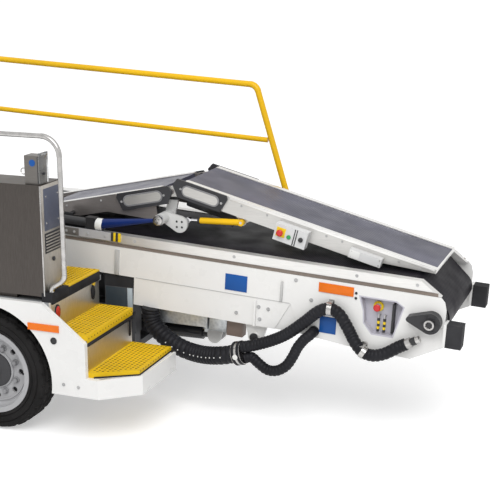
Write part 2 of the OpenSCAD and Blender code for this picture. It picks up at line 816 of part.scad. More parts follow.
// Hoses on the driver's side of the boom: each has its radius and its route in the boom's frame,
// [along, across, up]. The bundle hangs below the deep plate and splits at a collar into two branches.
hose_sides = 8;
line_r = 0;
line_route = 1;
hose_lines = [
    [56, [[740, -425, -430.3], [740, -425, -470], [760, -425, -530], [820, -425, -590], [900, -428, -635],
          [1000, -440, -660], [1120, -460, -660], [1240, -480, -635], [1330, -485, -605]]],
    [36, [[1376.8, -488.2, -553.6], [1433, -490, -534], [1540, -478, -490], [1640, -472, -430],
          [1740, -470, -340], [1820, -468, -262], [1885, -468, -235], [1945, -468, -258], [2000, -468, -330],
          [2050, -468, -410], [2100, -468, -458], [2160, -468, -470], [2230, -468, -445],
          [2300, -468, -395], [2345, -466, -368]]],
    [32, [[1399.8, -488.2, -619.6], [1437, -490, -607], [1490, -512, -628], [1550, -520, -655],
          [1610, -520, -648], [1662, -512, -610], [1695, -502, -550], [1718, -494, -492], [1752, -490, -440],
          [1778, -482, -414], [1790, -458, -400], [1790, -426.3, -400]]]
];

function ring(p, d, r) = let (t = unit(d), a = unit(cross(t, [0, 1, 0.01])), b = cross(t, a))
    [for (k = [0 : hose_sides - 1])
        p + r * (cos(k * 360 / hose_sides) * a + sin(k * 360 / hose_sides) * b)];

module hose(route, r) {
    n = len(route);
    points = [for (i = [0 : n - 1])
        each ring(route[i], route[min(i + 1, n - 1)] - route[max(i - 1, 0)], r)];
    walls = [for (i = [0 : n - 2], k = [0 : hose_sides - 1])
        let (a = i * hose_sides + k, b = i * hose_sides + (k + 1) % hose_sides)
        [a, a + hose_sides, b + hose_sides, b]];
    ends = [[for (k = [0 : hose_sides - 1]) k],
            [for (k = [hose_sides - 1 : -1 : 0]) (n - 1) * hose_sides + k]];
    polyhedron(points, concat(walls, ends));
}

module boom_hoses() {
    color("#1b1b1d") on_boom() for (line = hose_lines) hose(line[line_route], line[line_r]);
}

collar_ends = [[1331.4, -485, -604.6], [1386.6, -488.2, -586.1]];
collar_r = 70;

module hose_clamps() {
    color("#c9ccd0") on_boom() {
        block([1870, -side_y - 5.5, -280], [1900, -side_y, -190]);
        block([2085, -side_y - 5.5, -500], [2115, -side_y, -410]);
        tube(collar_ends[0], collar_ends[1], collar_r);
    }
}

handrail_r = 20;
handrail_y = side_y + 29;
handrail_top = 875;
handrail_mid = 525;
post_foot_u = 1365;
post_lean = 336;
rear_post_u = -4600;
post_rows = [-1250, -2400, -3500];
post_r = handrail_r - 1.5;
mid_r = handrail_r - 3;
foot_w = -40;

module post_foot(u) {
    block([u - 30, side_y + 4, foot_w - 8], [u + 30, handrail_y + 6, foot_w + 16]);
}

module handrail() {
    color("#f2c21a") on_boom() {
        bent_tube([[post_foot_u, foot_w], [post_foot_u - post_lean, handrail_top],
                   [rear_post_u, handrail_top], [rear_post_u, foot_w]], [60, 60], handrail_r, handrail_y);
        for (u = [post_foot_u, rear_post_u]) post_foot(u);
    }
}

// Posts and mid rails, welded into the handrail's outer tube
module handrail_bars() {
    lean_u = post_foot_u - post_lean * (handrail_mid - foot_w) / (handrail_top - foot_w);
    front_u = lean_u - handrail_r / cos(atan(post_lean / (handrail_top - foot_w))) - mid_r * 0.37 - seat;
    mid_ends = concat([front_u], [for (u = post_rows) u], [rear_post_u + handrail_r + seat]);
    color("#f2c21a") on_boom() {
        for (u = post_rows) {
            tube([u, handrail_y, foot_w], [u, handrail_y, handrail_top - handrail_r - seat], post_r);
            post_foot(u);
        }
        for (i = [0 : len(mid_ends) - 2]) {
            tube([mid_ends[i], handrail_y, handrail_mid], [mid_ends[i + 1], handrail_y, handrail_mid], mid_r);
        }
    }
}

// Lift cylinders

rod_show = 260;
barrel_l = lift_len - rod_show;
neck_r = 26;
neck_l = 90;

module along_lift() {
    translate([lift_eye[0], 0, lift_eye[1]]) rotate([0, 90 - lift_angle, 0]) children();
}

module lift_barrels() {
    color("#1c1c1e") both_sides() difference() {
        union() {
            cross_bar(lift_eye, barrel_r + 4, lift_y - eye_w / 2, lift_y + eye_w / 2);
            along_lift() translate([0, lift_y, 0]) cylinder(r = neck_r, h = neck_l + 1);
            along_lift() translate([0, lift_y, neck_l]) cylinder(r = barrel_r, h = barrel_l - neck_l);
        }
        cross_bar(lift_eye, kingpin_r + fit, lift_y - eye_w, lift_y + eye_w);
        along_lift() translate([0, lift_y, 200]) cylinder(r = rod_r + fit, h = barrel_l);
    }
}

module lift_rods() {
    color("#d6d8da") both_sides() difference() {
        union() {
            cross_bar(lift_foot, barrel_r, lift_y - eye_w / 2, lift_y + eye_w / 2);
            along_lift() translate([0, lift_y, 250]) cylinder(r = rod_r, h = lift_len - 250);
        }
        cross_bar(lift_foot, kingpin_r, lift_y - eye_w, lift_y + eye_w);
    }
}

// Folding extension

// Frames of the two decks: s runs from the peak hinge along the deck, h is across it
module on_front_deck() {
    translate([peak[0], 0, peak[1]]) rotate([0, front_fall, 0]) children();
}

module on_rear_deck() {
    translate([peak[0], 0, peak[1]]) rotate([0, -rear_rise, 0]) children();
}

function to_front_deck(p) = let (dx = p[0] - peak[0], dz = p[1] - peak[1])
    [dx * cos(front_fall) - dz * sin(front_fall), dx * sin(front_fall) + dz * cos(front_fall)];

ext_y = ext_w / 2;
ext_rail_w = 40;
ear_t = 18;
ear_r = 32;
bed_drop = 40;
belt_drop = 26;
front_nose_h = 24;
taper_l = 520;
pin_r = 8;
cap_t = 16;
cap_tip = -4;
bracket_t = 18;
bracket_in_y = ext_y + cap_t + 2;
tilt_eye_w = 30;
tilt_y = -bracket_in_y + 5 + tilt_eye_w / 2;
tilt_uw = to_front_deck(tilt_head);

module front_profile() {
    polygon([[peak_gap, front_top], [front_end, front_top], [front_end, front_top - front_nose_h],
             [front_end - taper_l, front_top - deck_h], [peak_gap + 60, front_top - deck_h],
             [peak_gap, front_top - 70]]);
}

module tilt_lug(h_top) {
    polygon([[tilt_uw[0] - 60, h_top], [tilt_uw[0] + 60, h_top], [tilt_uw[0] + 24, tilt_uw[1]],
             [tilt_uw[0] - 24, tilt_uw[1]]]);
    translate(tilt_uw) circle(24);
}

module ext_front_deck() {
    color("#c4c7ca") on_front_deck() difference() {
        union() {
            both_sides() side_view(ext_y - ext_rail_w, ext_y) front_profile();
            block([peak_gap, -ext_y + ext_rail_w, front_top - bed_drop],
                  [front_end - 160, ext_y - ext_rail_w, front_top - belt_drop]);
            both_sides() side_view(ext_y - ear_t, ext_y - seat) {
                circle(ear_r);
                polygon([[0, -ear_r], [peak_gap + 20, -8], [peak_gap + 20, front_top - 10], [0, ear_r]]);
            }
            side_view(tilt_y + tilt_eye_w / 2 + 4, -ext_y + ext_rail_w) tilt_lug(front_top - deck_h + 5);
            cross_bar(tilt_uw, pin_r, tilt_y - tilt_eye_w / 2, -ext_y + ext_rail_w - 2);
        }
        cross_bar([0, 0], hinge_r + fit, -ext_y - 1, ext_y + 1);
    }
}

module ext_front_belt() {
    color("#2b2c33") on_front_deck() block([peak_gap, -ext_y + ext_rail_w, front_top - belt_drop],
                                           [front_end, ext_y - ext_rail_w, front_top - 2]);
}

// A six-sided end cap: its tip, its far end and its top and bottom, as seen on the front deck
module cap_outline(tip, end, top, bottom) {
    polygon([[tip, (top + bottom) / 2 + 12], [tip + 22, top], [end - 12, top], [end, top - 24],
             [end - 26, bottom], [tip + 48, bottom]]);
}

module ext_front_caps() {
    color("#1f1f22") on_front_deck() both_sides() side_view(ext_y, ext_y + cap_t)
        cap_outline(cap_tip, 358, front_top + 4, front_top - deck_h - 6);
}

module ext_rear_caps() {
    color("#1f1f22") on_rear_deck() both_sides() side_view(ext_y, ext_y + cap_t) mirror([1, 0])
        cap_outline(cap_tip, 380, rear_top + 4, rear_top - deck_h - 6);
}

module rear_profile() {
    polygon([[-peak_gap, rear_top], [-rear_deck_l, rear_top], [-rear_deck_l, rear_top - 14],
             [-rear_deck_l + 420, rear_top - deck_h], [-peak_gap - 60, rear_top - deck_h],
             [-peak_gap, rear_top - 70]]);
}

module ext_rear_deck() {
    color("#c4c7ca") on_rear_deck() {
        both_sides() side_view(ext_y - ext_rail_w, ext_y) rear_profile();
        block([-rear_deck_l + 160, -ext_y + ext_rail_w, rear_top - bed_drop],
              [-peak_gap, ext_y - ext_rail_w, rear_top - belt_drop]);
        both_sides() side_view(ext_y - ext_rail_w, ext_y - ear_t - 4) {
            circle(ear_r);
            polygon([[0, -ear_r], [-peak_gap - 20, -40], [-peak_gap - 20, rear_top - 4], [0, ear_r]]);
        }
        cross_bar([0, 0], hinge_r, -ext_y + seat, ext_y - seat);
        both_sides() side_view(ext_y - 10, ext_y - 2)
            polygon([[-480, rear_top - deck_h + 2], [-130, rear_top - deck_h + 2], [-140, -165]]);
    }
}

module ext_rear_belt() {
    color("#2b2c33") on_rear_deck() block([-rear_deck_l + 160, -ext_y + ext_rail_w, rear_top - belt_drop],
                                          [-peak_gap, ext_y - ext_rail_w, rear_top - 2]);
}

// Lobe-shaped brackets under the peak, joined to the lifting arms by a round drum
lobe = [front_axle_x + 860, 1142];
lobe_r = 52;
drum = [front_axle_x + 762, 1180];
drum_r = 34;
arm_y = side_y - 32;
arm_eye_w = 24;
neck_in_y = ext_y - ext_rail_w - 4 - bracket_t;
arm_in_y = arm_y - arm_eye_w / 2;

module hinge_brackets() {
    color("#d2d4d6") both_sides() {
        side_view(bracket_in_y, bracket_in_y + bracket_t) link_outline(lobe, lobe_r, drum, drum_r);
        difference() {
            side_view(neck_in_y, neck_in_y + bracket_t) link_outline(drum, drum_r, peak, ear_r);
            cross_bar(peak, hinge_r + fit, 0, side_y);
        }
        cross_bar(drum, drum_r, neck_in_y, arm_in_y);
    }
}

// Carriage: runners on the boom's rails, uprights with cross pins to the rear deck, and the arms' drives
runner_t = 6;
arm_tip_r = 10;
runner_in_y = rail_in_y - 10;
drive_r = 34;
arm_uw = [340, runner_t + drive_r - 4];
cross_pin_uw = [110, 56];

module ext_carriage() {
    color("#b4b7ba") on_boom() {
        both_sides() {
            block([-420, runner_in_y, seat], [arm_uw[0], side_y - 2, runner_t]);
            block([60, runner_in_y, runner_t], [160, runner_in_y + 8, cross_pin_uw[1] + 24]);
            cross_bar(cross_pin_uw, 12, ext_y, runner_in_y + 8);
            block([arm_uw[0] - 66, arm_y - 26, runner_t],
                  [arm_uw[0], arm_y + 26, runner_t + 2 * drive_r + 4]);
            tube([arm_uw[0] - 280, arm_y, arm_uw[1]], [arm_uw[0] - 60, arm_y, arm_uw[1]], drive_r - 4);
        }
        block([70, -side_y - 12, -44], [460, -side_y - 6, runner_t]);
        block([70, -side_y - 6, seat], [460, -side_y + 2, runner_t]);
    }
}

module support_arm() {
    drum_uw = to_boom(drum);
    d = drum_uw - arm_uw;
    color("#1f3f9a") both_sides() {
        on_boom() translate([arm_uw[0], arm_y, arm_uw[1]]) difference() {
            rotate([0, 90 - atan2(d[1], d[0]), 0]) translate([0, 0, -20])
                cylinder(r1 = drive_r, r2 = arm_tip_r, h = norm(d) + 20);
            block([-60, -60, -60], [0, 60, 60]);
        }
        cross_bar(drum, 24, arm_in_y, arm_y + arm_eye_w / 2);
    }
}

module stop_boxes() {
    color("#b4b7ba") on_front_deck() {
        block([704, -ext_y - 60, -48], [906, -ext_y, 56]);
        block([1165, -ext_y - 50, 0], [1362, -ext_y, 52]);
    }
}

// Tilt cylinder between the lobe bracket and the front deck
tilt_rod_show = 66;
tilt_barrel_l = tilt_len - tilt_rod_show;
tilt_rod_r = 9;

module along_tilt() {
    translate([tilt_head[0], 0, tilt_head[1]]) rotate([0, 90 - tilt_angle, 0]) children();
}

module tilt_barrel() {
    color("#f0b41c") difference() {
        union() {
            cross_bar(tilt_head, 20, tilt_y - tilt_eye_w / 2, tilt_y + tilt_eye_w / 2);
            along_tilt() translate([0, tilt_y, 12]) cylinder(r = tilt_barrel_r, h = tilt_barrel_l - 12);
        }
        cross_bar(tilt_head, pin_r + fit, tilt_y - tilt_eye_w, tilt_y + tilt_eye_w);
        along_tilt() translate([0, tilt_y, 40]) cylinder(r = tilt_rod_r + fit, h = tilt_barrel_l);
    }
}

module tilt_rod() {
    color("#d6d8da") {
        along_tilt() translate([0, tilt_y, 44]) cylinder(r = tilt_rod_r, h = tilt_len - 44);
        cross_bar(tilt_foot, 18, tilt_y - tilt_eye_w / 2, tilt_y + tilt_eye_w / 2);
    }
}

chassis_frame();
frame_members();
front_axle();
rear_axle();
pivot_tower();
boom_buffers();
fender_right();
step_box();
step_risers();
step_treads();
driver_floor();
console_cabinet();
console_top_box();
grab_rail();
driver_seat();
steering_column();
body_right();
body_left();
power_unit();
rear_bumper();
lamps();
engine_hood();
knuckle_right();
knuckle_left();
tyre_front_right();
rim_front_right();
tyre_front_left();
rim_front_left();
tyre_rear_right();
rim_rear_right();
tyre_rear_left();
rim_rear_left();
boom_channels();
boom_rails();
main_belt();
belt_drums();
deep_plates();
head_plates();
head_motor();
head_bumpers();
control_panel();
sub_rails();
boom_hoses();
hose_clamps();
handrail();
handrail_bars();
lift_barrels();
lift_rods();
ext_carriage();
ext_rear_deck();
ext_rear_belt();
ext_rear_caps();
support_arm();
hinge_brackets();
ext_front_deck();
ext_front_belt();
ext_front_caps();
stop_boxes();
tilt_barrel();
tilt_rod();
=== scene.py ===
import math
import bmesh
import bpy
from mathutils import Matrix, Vector


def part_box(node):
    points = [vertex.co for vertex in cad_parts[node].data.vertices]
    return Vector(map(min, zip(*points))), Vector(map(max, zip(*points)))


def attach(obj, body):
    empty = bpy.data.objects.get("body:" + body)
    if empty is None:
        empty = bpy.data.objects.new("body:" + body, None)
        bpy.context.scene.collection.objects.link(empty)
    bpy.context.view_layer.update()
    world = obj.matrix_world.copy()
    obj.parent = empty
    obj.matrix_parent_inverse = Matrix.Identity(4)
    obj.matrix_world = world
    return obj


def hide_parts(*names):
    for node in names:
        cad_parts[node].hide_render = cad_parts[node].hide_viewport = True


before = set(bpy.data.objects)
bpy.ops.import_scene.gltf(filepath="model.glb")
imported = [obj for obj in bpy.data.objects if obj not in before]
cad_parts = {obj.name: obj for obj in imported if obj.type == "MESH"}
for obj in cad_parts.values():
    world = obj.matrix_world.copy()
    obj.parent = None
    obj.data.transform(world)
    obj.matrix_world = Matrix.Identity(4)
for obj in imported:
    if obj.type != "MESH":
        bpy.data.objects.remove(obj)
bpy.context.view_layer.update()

# Camera of the photograph: a long lens at the machine's right front, looking a little down on it. Its place
# and tilt come from the photograph's vanishing lines.
camera_data = bpy.data.cameras.new("camera")
camera_data.lens = 81.36
camera_data.sensor_width = 36
camera_data.clip_end = 500
camera = bpy.data.objects.new("camera", camera_data)
bpy.context.scene.collection.objects.link(camera)
camera.location = (5.029, -6.422, 2.711)
camera.rotation_euler = (math.radians(90 - 14.473), 0, math.radians(20.683))
bpy.context.scene.camera = camera
bpy.context.scene.view_settings.view_transform = "Standard"


# Frame and axles: welded steel rails, crossmembers and forged axles, sprayed satin black and dusty from
# the apron. They stay as the CAD has them, and get a paint with mottled dust.
def new_material(name):
    material = bpy.data.materials.new(name)
    material.use_nodes = True
    tree = material.node_tree
    return material, tree, tree.nodes["Principled BSDF"]


def noise(tree, scale, detail=3.0, stretch=(1, 1, 1)):
    place = tree.nodes.new("ShaderNodeTexCoord")
    mapping = tree.nodes.new("ShaderNodeMapping")
    mapping.inputs["Scale"].default_value = stretch
    texture = tree.nodes.new("ShaderNodeTexNoise")
    texture.inputs["Scale"].default_value = scale
    texture.inputs["Detail"].default_value = detail
    tree.links.new(place.outputs["Object"], mapping.inputs["Vector"])
    tree.links.new(mapping.outputs["Vector"], texture.inputs["Vector"])
    return texture.outputs["Fac"]


def ramp(tree, value, low, high, start=0.35, end=0.65):
    steps = tree.nodes.new("ShaderNodeValToRGB")
    steps.color_ramp.elements[0].position = start
    steps.color_ramp.elements[1].position = end
    steps.color_ramp.elements[0].color = (*low, 1)
    steps.color_ramp.elements[1].color = (*high, 1)
    tree.links.new(value, steps.inputs["Fac"])
    return steps.outputs["Color"]


def bump(tree, shader, height, strength, distance=0.002):
    node = tree.nodes.new("ShaderNodeBump")
    node.inputs["Strength"].default_value = strength
    node.inputs["Distance"].default_value = distance
    tree.links.new(height, node.inputs["Height"])
    tree.links.new(node.outputs["Normal"], shader.inputs["Normal"])


def shade(colour, factor):
    return tuple(min(1.0, c * factor) for c in colour)


def painted(name, colour, roughness, dust=0.9, coat=0.0):
    material, tree, shader = new_material(name)
    mottle = ramp(tree, noise(tree, 2.2, 6), shade(colour, dust), colour)
    tree.links.new(mottle, shader.inputs["Base Color"])
    gloss = ramp(tree, noise(tree, 9, 4), (roughness * 0.8,) * 3, (min(1, roughness * 1.25),) * 3)
    tree.links.new(gloss, shader.inputs["Roughness"])
    shader.inputs["Specular IOR Level"].default_value = 0.25
    shader.inputs["Coat Weight"].default_value = coat
    shader.inputs["Coat Roughness"].default_value = 0.12
    bump(tree, shader, noise(tree, 420, 2), 0.06, 0.0006)
    return material


def cover(material, *nodes):
    for node in nodes:
        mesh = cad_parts[node].data
        mesh.materials.clear()
        mesh.materials.append(material)


frame_paint = painted("frame_paint", (0.055, 0.056, 0.06), 0.5, 1.7)
cover(frame_paint, "chassis_frame", "frame_members", "front_axle", "rear_axle")
cover(frame_paint, "knuckle_right", "knuckle_left")


# Wheels: radial road tyres on pressed steel disc wheels, with a turned hub cap and a ring of wheel nuts.
# The tyre is one moulding with grooved tread and rings on its sidewall; the disc is painted silver.
def finish_mesh(name, bm, materials, body, replaced=(), angle=32):
    bmesh.ops.remove_doubles(bm, verts=bm.verts, dist=1e-6)
    bmesh.ops.recalc_face_normals(bm, faces=bm.faces)
    mesh = bpy.data.meshes.new(name)
    bm.to_mesh(mesh)
    bm.free()
    for material in materials:
        mesh.materials.append(material)
    mesh.shade_smooth()
    mesh.set_sharp_from_angle(angle=math.radians(angle))
    obj = bpy.data.objects.new(name, mesh)
    bpy.context.scene.collection.objects.link(obj)
    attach(obj, body)
    if replaced:
        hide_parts(*replaced)
    return obj


def lathe(bm, profile, place, sides=48, slot=0, shape=None):
    """A profile of (radius, height) spun about the place's own Z; shape gives a ring's points their radii."""
    turned = bmesh.new()
    points = [turned.verts.new((radius, 0, height)) for radius, height in profile]
    edges = [turned.edges.new(pair) for pair in zip(points, points[1:])]
    bmesh.ops.spin(turned, geom=points + edges, cent=(0, 0, 0), axis=(0, 0, 1), angle=2 * math.pi,
                   steps=sides, use_merge=True)
    if shape:
        for vert in turned.verts:
            radius, height = vert.co.xy.length, vert.co.z
            i = round(math.atan2(vert.co.y, vert.co.x) / (2 * math.pi) * sides) % sides
            j = min(range(len(profile)),
                    key=lambda k: abs(profile[k][0] - radius) + abs(profile[k][1] - height))
            vert.co.xy *= shape(i, j, radius) / radius
    for face in turned.faces:
        face.material_index = slot
    bmesh.ops.transform(turned, matrix=place, verts=turned.verts)
    scrap = bpy.data.meshes.new("scrap")
    turned.to_mesh(scrap)
    turned.free()
    bm.from_mesh(scrap)
    bpy.data.meshes.remove(scrap)


def facing(point, direction):
    """A frame at point whose Z runs along direction."""
    turn = Vector(direction).to_track_quat("Z", "Y").to_matrix().to_4x4()
    return Matrix.Translation(Vector(point)) @ turn


def rubber(name, colour, roughness=0.75, grain=260):
    material, tree, shader = new_material(name)
    tree.links.new(ramp(tree, noise(tree, 5, 6), colour, shade(colour, 1.8)), shader.inputs["Base Color"])
    shader.inputs["Roughness"].default_value = roughness
    shader.inputs["Specular IOR Level"].default_value = 0.12
    bump(tree, shader, noise(tree, grain, 3), 0.25, 0.001)
    return material


tyre_rubber = rubber("tyre_rubber", (0.011, 0.0105, 0.0105))
wheel_paint = painted("wheel_paint", (0.43, 0.43, 0.44), 0.38, 0.82, 0.3)
nut_steel = painted("nut_steel", (0.34, 0.34, 0.35), 0.35, 0.7)
hub_black = painted("hub_black", (0.03, 0.03, 0.032), 0.4, 1.5)

TREAD_GROOVES = (2, 5, 8, 11, 14)
TREAD_DEPTH = 0.009
DISC_FACE, NUT_CIRCLE, NUTS = 0.0365, 0.142, 8
bead_r = 0.2415
for end in ("front", "rear"):
    for side, sign in (("right", -1), ("left", 1)):
        body = f"wheel_{end}_{side}"
        low, high = (Vector(c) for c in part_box(f"tyre_{end}_{side}"))
        centre = (low + high) / 2
        axle = facing(centre, (0, sign, 0))
        tyre_r = (high.z - low.z) / 2
        half = (high.y - low.y) / 2
        section = [(bead_r, -half + 0.018), (bead_r + 0.012, -half + 0.012), (bead_r + 0.03, -half + 0.003),
                   (bead_r + 0.036, -half + 0.008), (bead_r + 0.042, -half), (bead_r + 0.066, -half),
                   (bead_r + 0.072, -half + 0.007), (bead_r + 0.078, -half + 0.001),
                   (tyre_r - 0.03, -half + 0.006)]
        sides = len(section)
        count = 16
        for k in range(count + 1):
            across = -1 + 2 * k / count
            drop = 0.016 * max(0.0, abs(across) - 0.7) / 0.3
            section.append((tyre_r - drop, across * (half - 0.012)))
        section += [(r, -h) for r, h in reversed(section[:sides])]

        def tread(i, j, radius):
            if j - sides in TREAD_GROOVES:
                return radius - TREAD_DEPTH
            on_tread = sides <= j <= sides + count
            return radius - TREAD_DEPTH if on_tread and (i + 2 * (j // 3)) % 6 == 0 else radius

        bm = bmesh.new()
        lathe(bm, section, axle, 168, 0, tread)
        finish_mesh(f"tyre_skin_{end}_{side}", bm, [tyre_rubber], body, [f"tyre_{end}_{side}"], 28)
        cover(wheel_paint, f"rim_{end}_{side}")

        bm = bmesh.new()
        lathe(bm, [(0.2238, 0.052), (0.21, 0.048), (0.204, 0.0385), (0.199, 0.0385), (0.196, 0.044),
                   (0.188, 0.044), (0.1845, DISC_FACE)], axle, 72)
        lathe(bm, [(0.12, DISC_FACE), (0.116, 0.046), (0.104, 0.05)], axle, 72)
        for k in range(NUTS):
            turn = 2 * math.pi * (k + 0.5) / NUTS
            x, y = NUT_CIRCLE * math.cos(turn), NUT_CIRCLE * math.sin(turn)
            spot = axle @ Matrix.Translation((x, y, DISC_FACE))
            lathe(bm, [(0.021, 0), (0.021, 0.004), (0.0155, 0.006)], spot, 20, 1)
            lathe(bm, [(0.0155, 0.004), (0.0155, 0.02), (0.012, 0.024), (0.0, 0.025)], spot, 6, 1)
        lathe(bm, [(0.108, 0.0495), (0.106, 0.056), (0.092, 0.0615), (0.06, 0.065), (0.052, 0.0705),
                   (0.046, 0.077), (0.0, 0.079)], axle, 40, 2)
        lathe(bm, [(0.14, 0.014), (0.19, 0.014)], axle, 40, 2)
        lathe(bm, [(0.005, 0.0), (0.005, 0.035), (0.0, 0.036)],
              axle @ Matrix.Translation((0.2, 0, 0.036)), 10, 2)
        finish_mesh(f"wheel_trim_{end}_{side}", bm, [wheel_paint, nut_steel, hub_black], body)

# Fender, step box and side bodies: folded sheet steel, sprayed gloss white, with pressed seams and screws.
# The reflector and lamps are amber mouldings, ribbed on the inside of the lens.
white_paint = painted("white_paint", (0.79, 0.785, 0.77), 0.3, 0.94, 0.25)
cover(white_paint, "fender_right", "step_box", "body_right", "body_left", "engine_hood", "pivot_tower")


def lens(name, colour):
    material, tree, shader = new_material(name)
    tree.links.new(ramp(tree, noise(tree, 9, 2), shade(colour, 0.85), colour), shader.inputs["Base Color"])
    shader.inputs["Roughness"].default_value = 0.18
    shader.inputs["Specular IOR Level"].default_value = 0.25
    ribs = tree.nodes.new("ShaderNodeTexWave")
    ribs.inputs["Scale"].default_value = 60
    place = tree.nodes.new("ShaderNodeTexCoord")
    tree.links.new(place.outputs["Object"], ribs.inputs["Vector"])
    bump(tree, shader, ribs.outputs["Fac"], 0.4, 0.002)
    return material


amber_lens = lens("amber_lens", (0.82, 0.17, 0.004))
cover(amber_lens, "lamps")
black_plastic = painted("black_plastic", (0.028, 0.028, 0.03), 0.45, 1.5)
RIGHT, LEFT = (0, -1, 0), (0, 1, 0)
half_w = 1.15


def screw(bm, point, direction, r=0.008, slot=0):
    spot = facing(point, direction)
    lathe(bm, [(r * 1.5, 0), (r * 1.45, r * 0.25), (r, r * 0.3)], spot, 16, slot)
    lathe(bm, [(r, r * 0.25), (r, r * 0.9), (r * 0.8, r * 1.1), (0, r * 1.1)], spot, 6, slot)


bolt_steel = painted("bolt_steel", (0.5, 0.5, 0.5), 0.32, 0.7)
bm = bmesh.new()
for x, z in ((2.0, 0.357), (1.905, 0.362)):
    screw(bm, (x, -half_w, z), RIGHT, 0.007)
for x in (-1.75, -0.6, 0.2, 0.85):
    for sign in (-1, 1):
        screw(bm, (x, sign * half_w, 0.9), (0, sign, 0), 0.007)
port = facing((1.853, -half_w, 0.618), RIGHT)
lathe(bm, [(0.02, 0), (0.02, 0.004), (0.016, 0.006), (0.0135, 0.002), (0.0, 0.002)], port, 24, 1)
finish_mesh("body_fasteners", bm, [bolt_steel, black_plastic], "chassis")


# Steps: yellow pressed grip treads with rows of raised holes, black strips under their lips, and risers of
# brushed stainless sheet that carry a red lamp, a round disc, an oval socket and a grip slot.
def block(bm, low, high, place=Matrix(), bevel=0.002, slot=0, segments=2):
    size = Vector(high) - Vector(low)
    middle = (Vector(high) + Vector(low)) / 2
    before = set(bm.faces)
    made = bmesh.ops.create_cube(bm, size=1, matrix=Matrix.Translation(middle) @ Matrix.Diagonal((*size, 1)))
    if bevel:
        edges = list({e for v in made["verts"] for e in v.link_edges})
        bmesh.ops.bevel(bm, geom=edges, offset=bevel, segments=segments, profile=0.5, affect="EDGES",
                        material=-1)
    faces = set(bm.faces) - before
    for face in faces:
        face.material_index = slot
    bmesh.ops.transform(bm, matrix=place, verts=list({v for f in faces for v in f.verts}))


def brushed(name, colour, roughness, stretch=(1, 1, 40)):
    material, tree, shader = new_material(name)
    grain = noise(tree, 22, 6, stretch)
    tree.links.new(ramp(tree, grain, shade(colour, 0.82), shade(colour, 1.08)), shader.inputs["Base Color"])
    gloss = ramp(tree, noise(tree, 3, 5), (roughness * 0.85,) * 3, (roughness * 1.2,) * 3)
    tree.links.new(gloss, shader.inputs["Roughness"])
    shader.inputs["Metallic"].default_value = 1.0
    bump(tree, shader, grain, 0.05, 0.0008)
    return material


tread_paint = painted("tread_paint", (0.78, 0.5, 0.006), 0.42, 0.8)
riser_steel = brushed("riser_steel", (0.66, 0.61, 0.54), 0.36, (1, 30, 1))
# The treads' holes are closed by dark brownish discs: painted shade inside the holes.
hole_painted_shade = painted("hole_painted_shade", (0.05, 0.037, 0.01), 0.7, 0.7)
edge_black = rubber("edge_black", (0.018, 0.018, 0.02))
cover(tread_paint, "step_treads")
cover(riser_steel, "step_risers")
deck_plate = painted("deck_plate", (0.3, 0.31, 0.32), 0.45, 0.8)
cover(deck_plate, "driver_floor")

panel_y = -half_w + 0.03
step_in_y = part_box("step_risers")[1][1]
LOW_Z, MID_Z, TOP_Z = 0.443, 0.661, 0.88
TREAD_ROWS = [(2.056, 2.29, LOW_Z), (1.828, 2.04, MID_Z), (1.638, 1.82, TOP_Z)]
PITCH = 0.027
bm = bmesh.new()
for x0, x1, z in TREAD_ROWS:
    rows = round((x1 - x0) / PITCH)
    columns = round((step_in_y - panel_y - 0.03) / PITCH)
    for i in range(rows):
        for j in range(columns):
            x = x0 + (i + 0.5) * (x1 - x0) / rows
            y = panel_y + 0.02 + (j + 0.5 + 0.25 * (-1) ** i) * PITCH
            beside_console = z == TOP_Z and x < 1.8 and y < -0.88
            past_nose = z == LOW_Z and y < -0.975 - (2.29 - x) * 0.72
            if beside_console or past_nose or y > step_in_y - 0.012:
                continue
            spot = Matrix.Translation((x, y, z))
            # A raised hole, with a dark disc in it that is painted shade.
            lathe(bm, [(0.0118, 0.0002), (0.0106, 0.0026), (0.009, 0.003), (0.0078, 0.0012)], spot, 10)
            lathe(bm, [(0.0078, 0.0012), (0.0, 0.0008)], spot, 10, 1)
LIPS = ((2.052, MID_Z, 0.054), (1.834, TOP_Z, 0.05))
LIP_X, NOSE_X, NOSE_Y = 2.0522, 2.304, -0.986
lip_y0, lip_y1 = panel_y + 0.004, step_in_y - 0.004
for x, near_y, z in ((LIP_X, panel_y, MID_Z - 0.02), (NOSE_X, NOSE_Y, LOW_Z - 0.008)):
    columns = round((step_in_y - near_y) / 0.034)
    for j in range(columns):
        spot = facing((x, near_y + (j + 0.5) * (step_in_y - near_y) / columns, z), (1, 0, 0))
        # A raised hole in the lip, with a dark disc in it that is painted shade.
        lathe(bm, [(0.0065, 0.0002), (0.0055, 0.0012), (0.0045, 0.0008)], spot, 8)
        lathe(bm, [(0.0045, 0.0008), (0.0, 0.0004)], spot, 8, 1)
block(bm, (2.044, lip_y0, MID_Z - 0.05), (LIP_X, lip_y1, MID_Z - 0.001), bevel=0.002)
finish_mesh("tread_grip", bm, [tread_paint, hole_painted_shade], "chassis")

red_lens = lens("red_lens", (0.55, 0.03, 0.02))
yellow_disc = painted("yellow_disc", (0.86, 0.6, 0.05), 0.4, 0.9)
bm = bmesh.new()
for x, z, depth in LIPS:
    block(bm, (x - 0.006, lip_y0, z - depth - 0.012), (x + 0.0035, lip_y1, z - depth + 0.01), bevel=0.0015)
STRIP_Z0, STRIP_Z1 = LOW_Z - 0.0305, LOW_Z - 0.022
block(bm, (NOSE_X - 0.008, NOSE_Y, STRIP_Z0), (NOSE_X + 0.005, lip_y1, STRIP_Z1), bevel=0.002)
chamfer = Matrix.Translation((2.084, -1.12, 0)) @ Matrix.Rotation(math.atan2(0.134, 0.22), 4, "Z")
block(bm, (0, -0.005, STRIP_Z0), (0.2576, 0.005, STRIP_Z1), chamfer, 0.002)
cover_y = -0.93
block(bm, (1.833, cover_y, TOP_Z - 0.05), (1.8375, lip_y1, TOP_Z - 0.008), bevel=0.0015)
block(bm, (1.77, panel_y - 0.001, TOP_Z - 0.0505), (1.8375, cover_y, TOP_Z + 0.0035), bevel=0.0015)
high_x, low_x = 1.826, 2.042
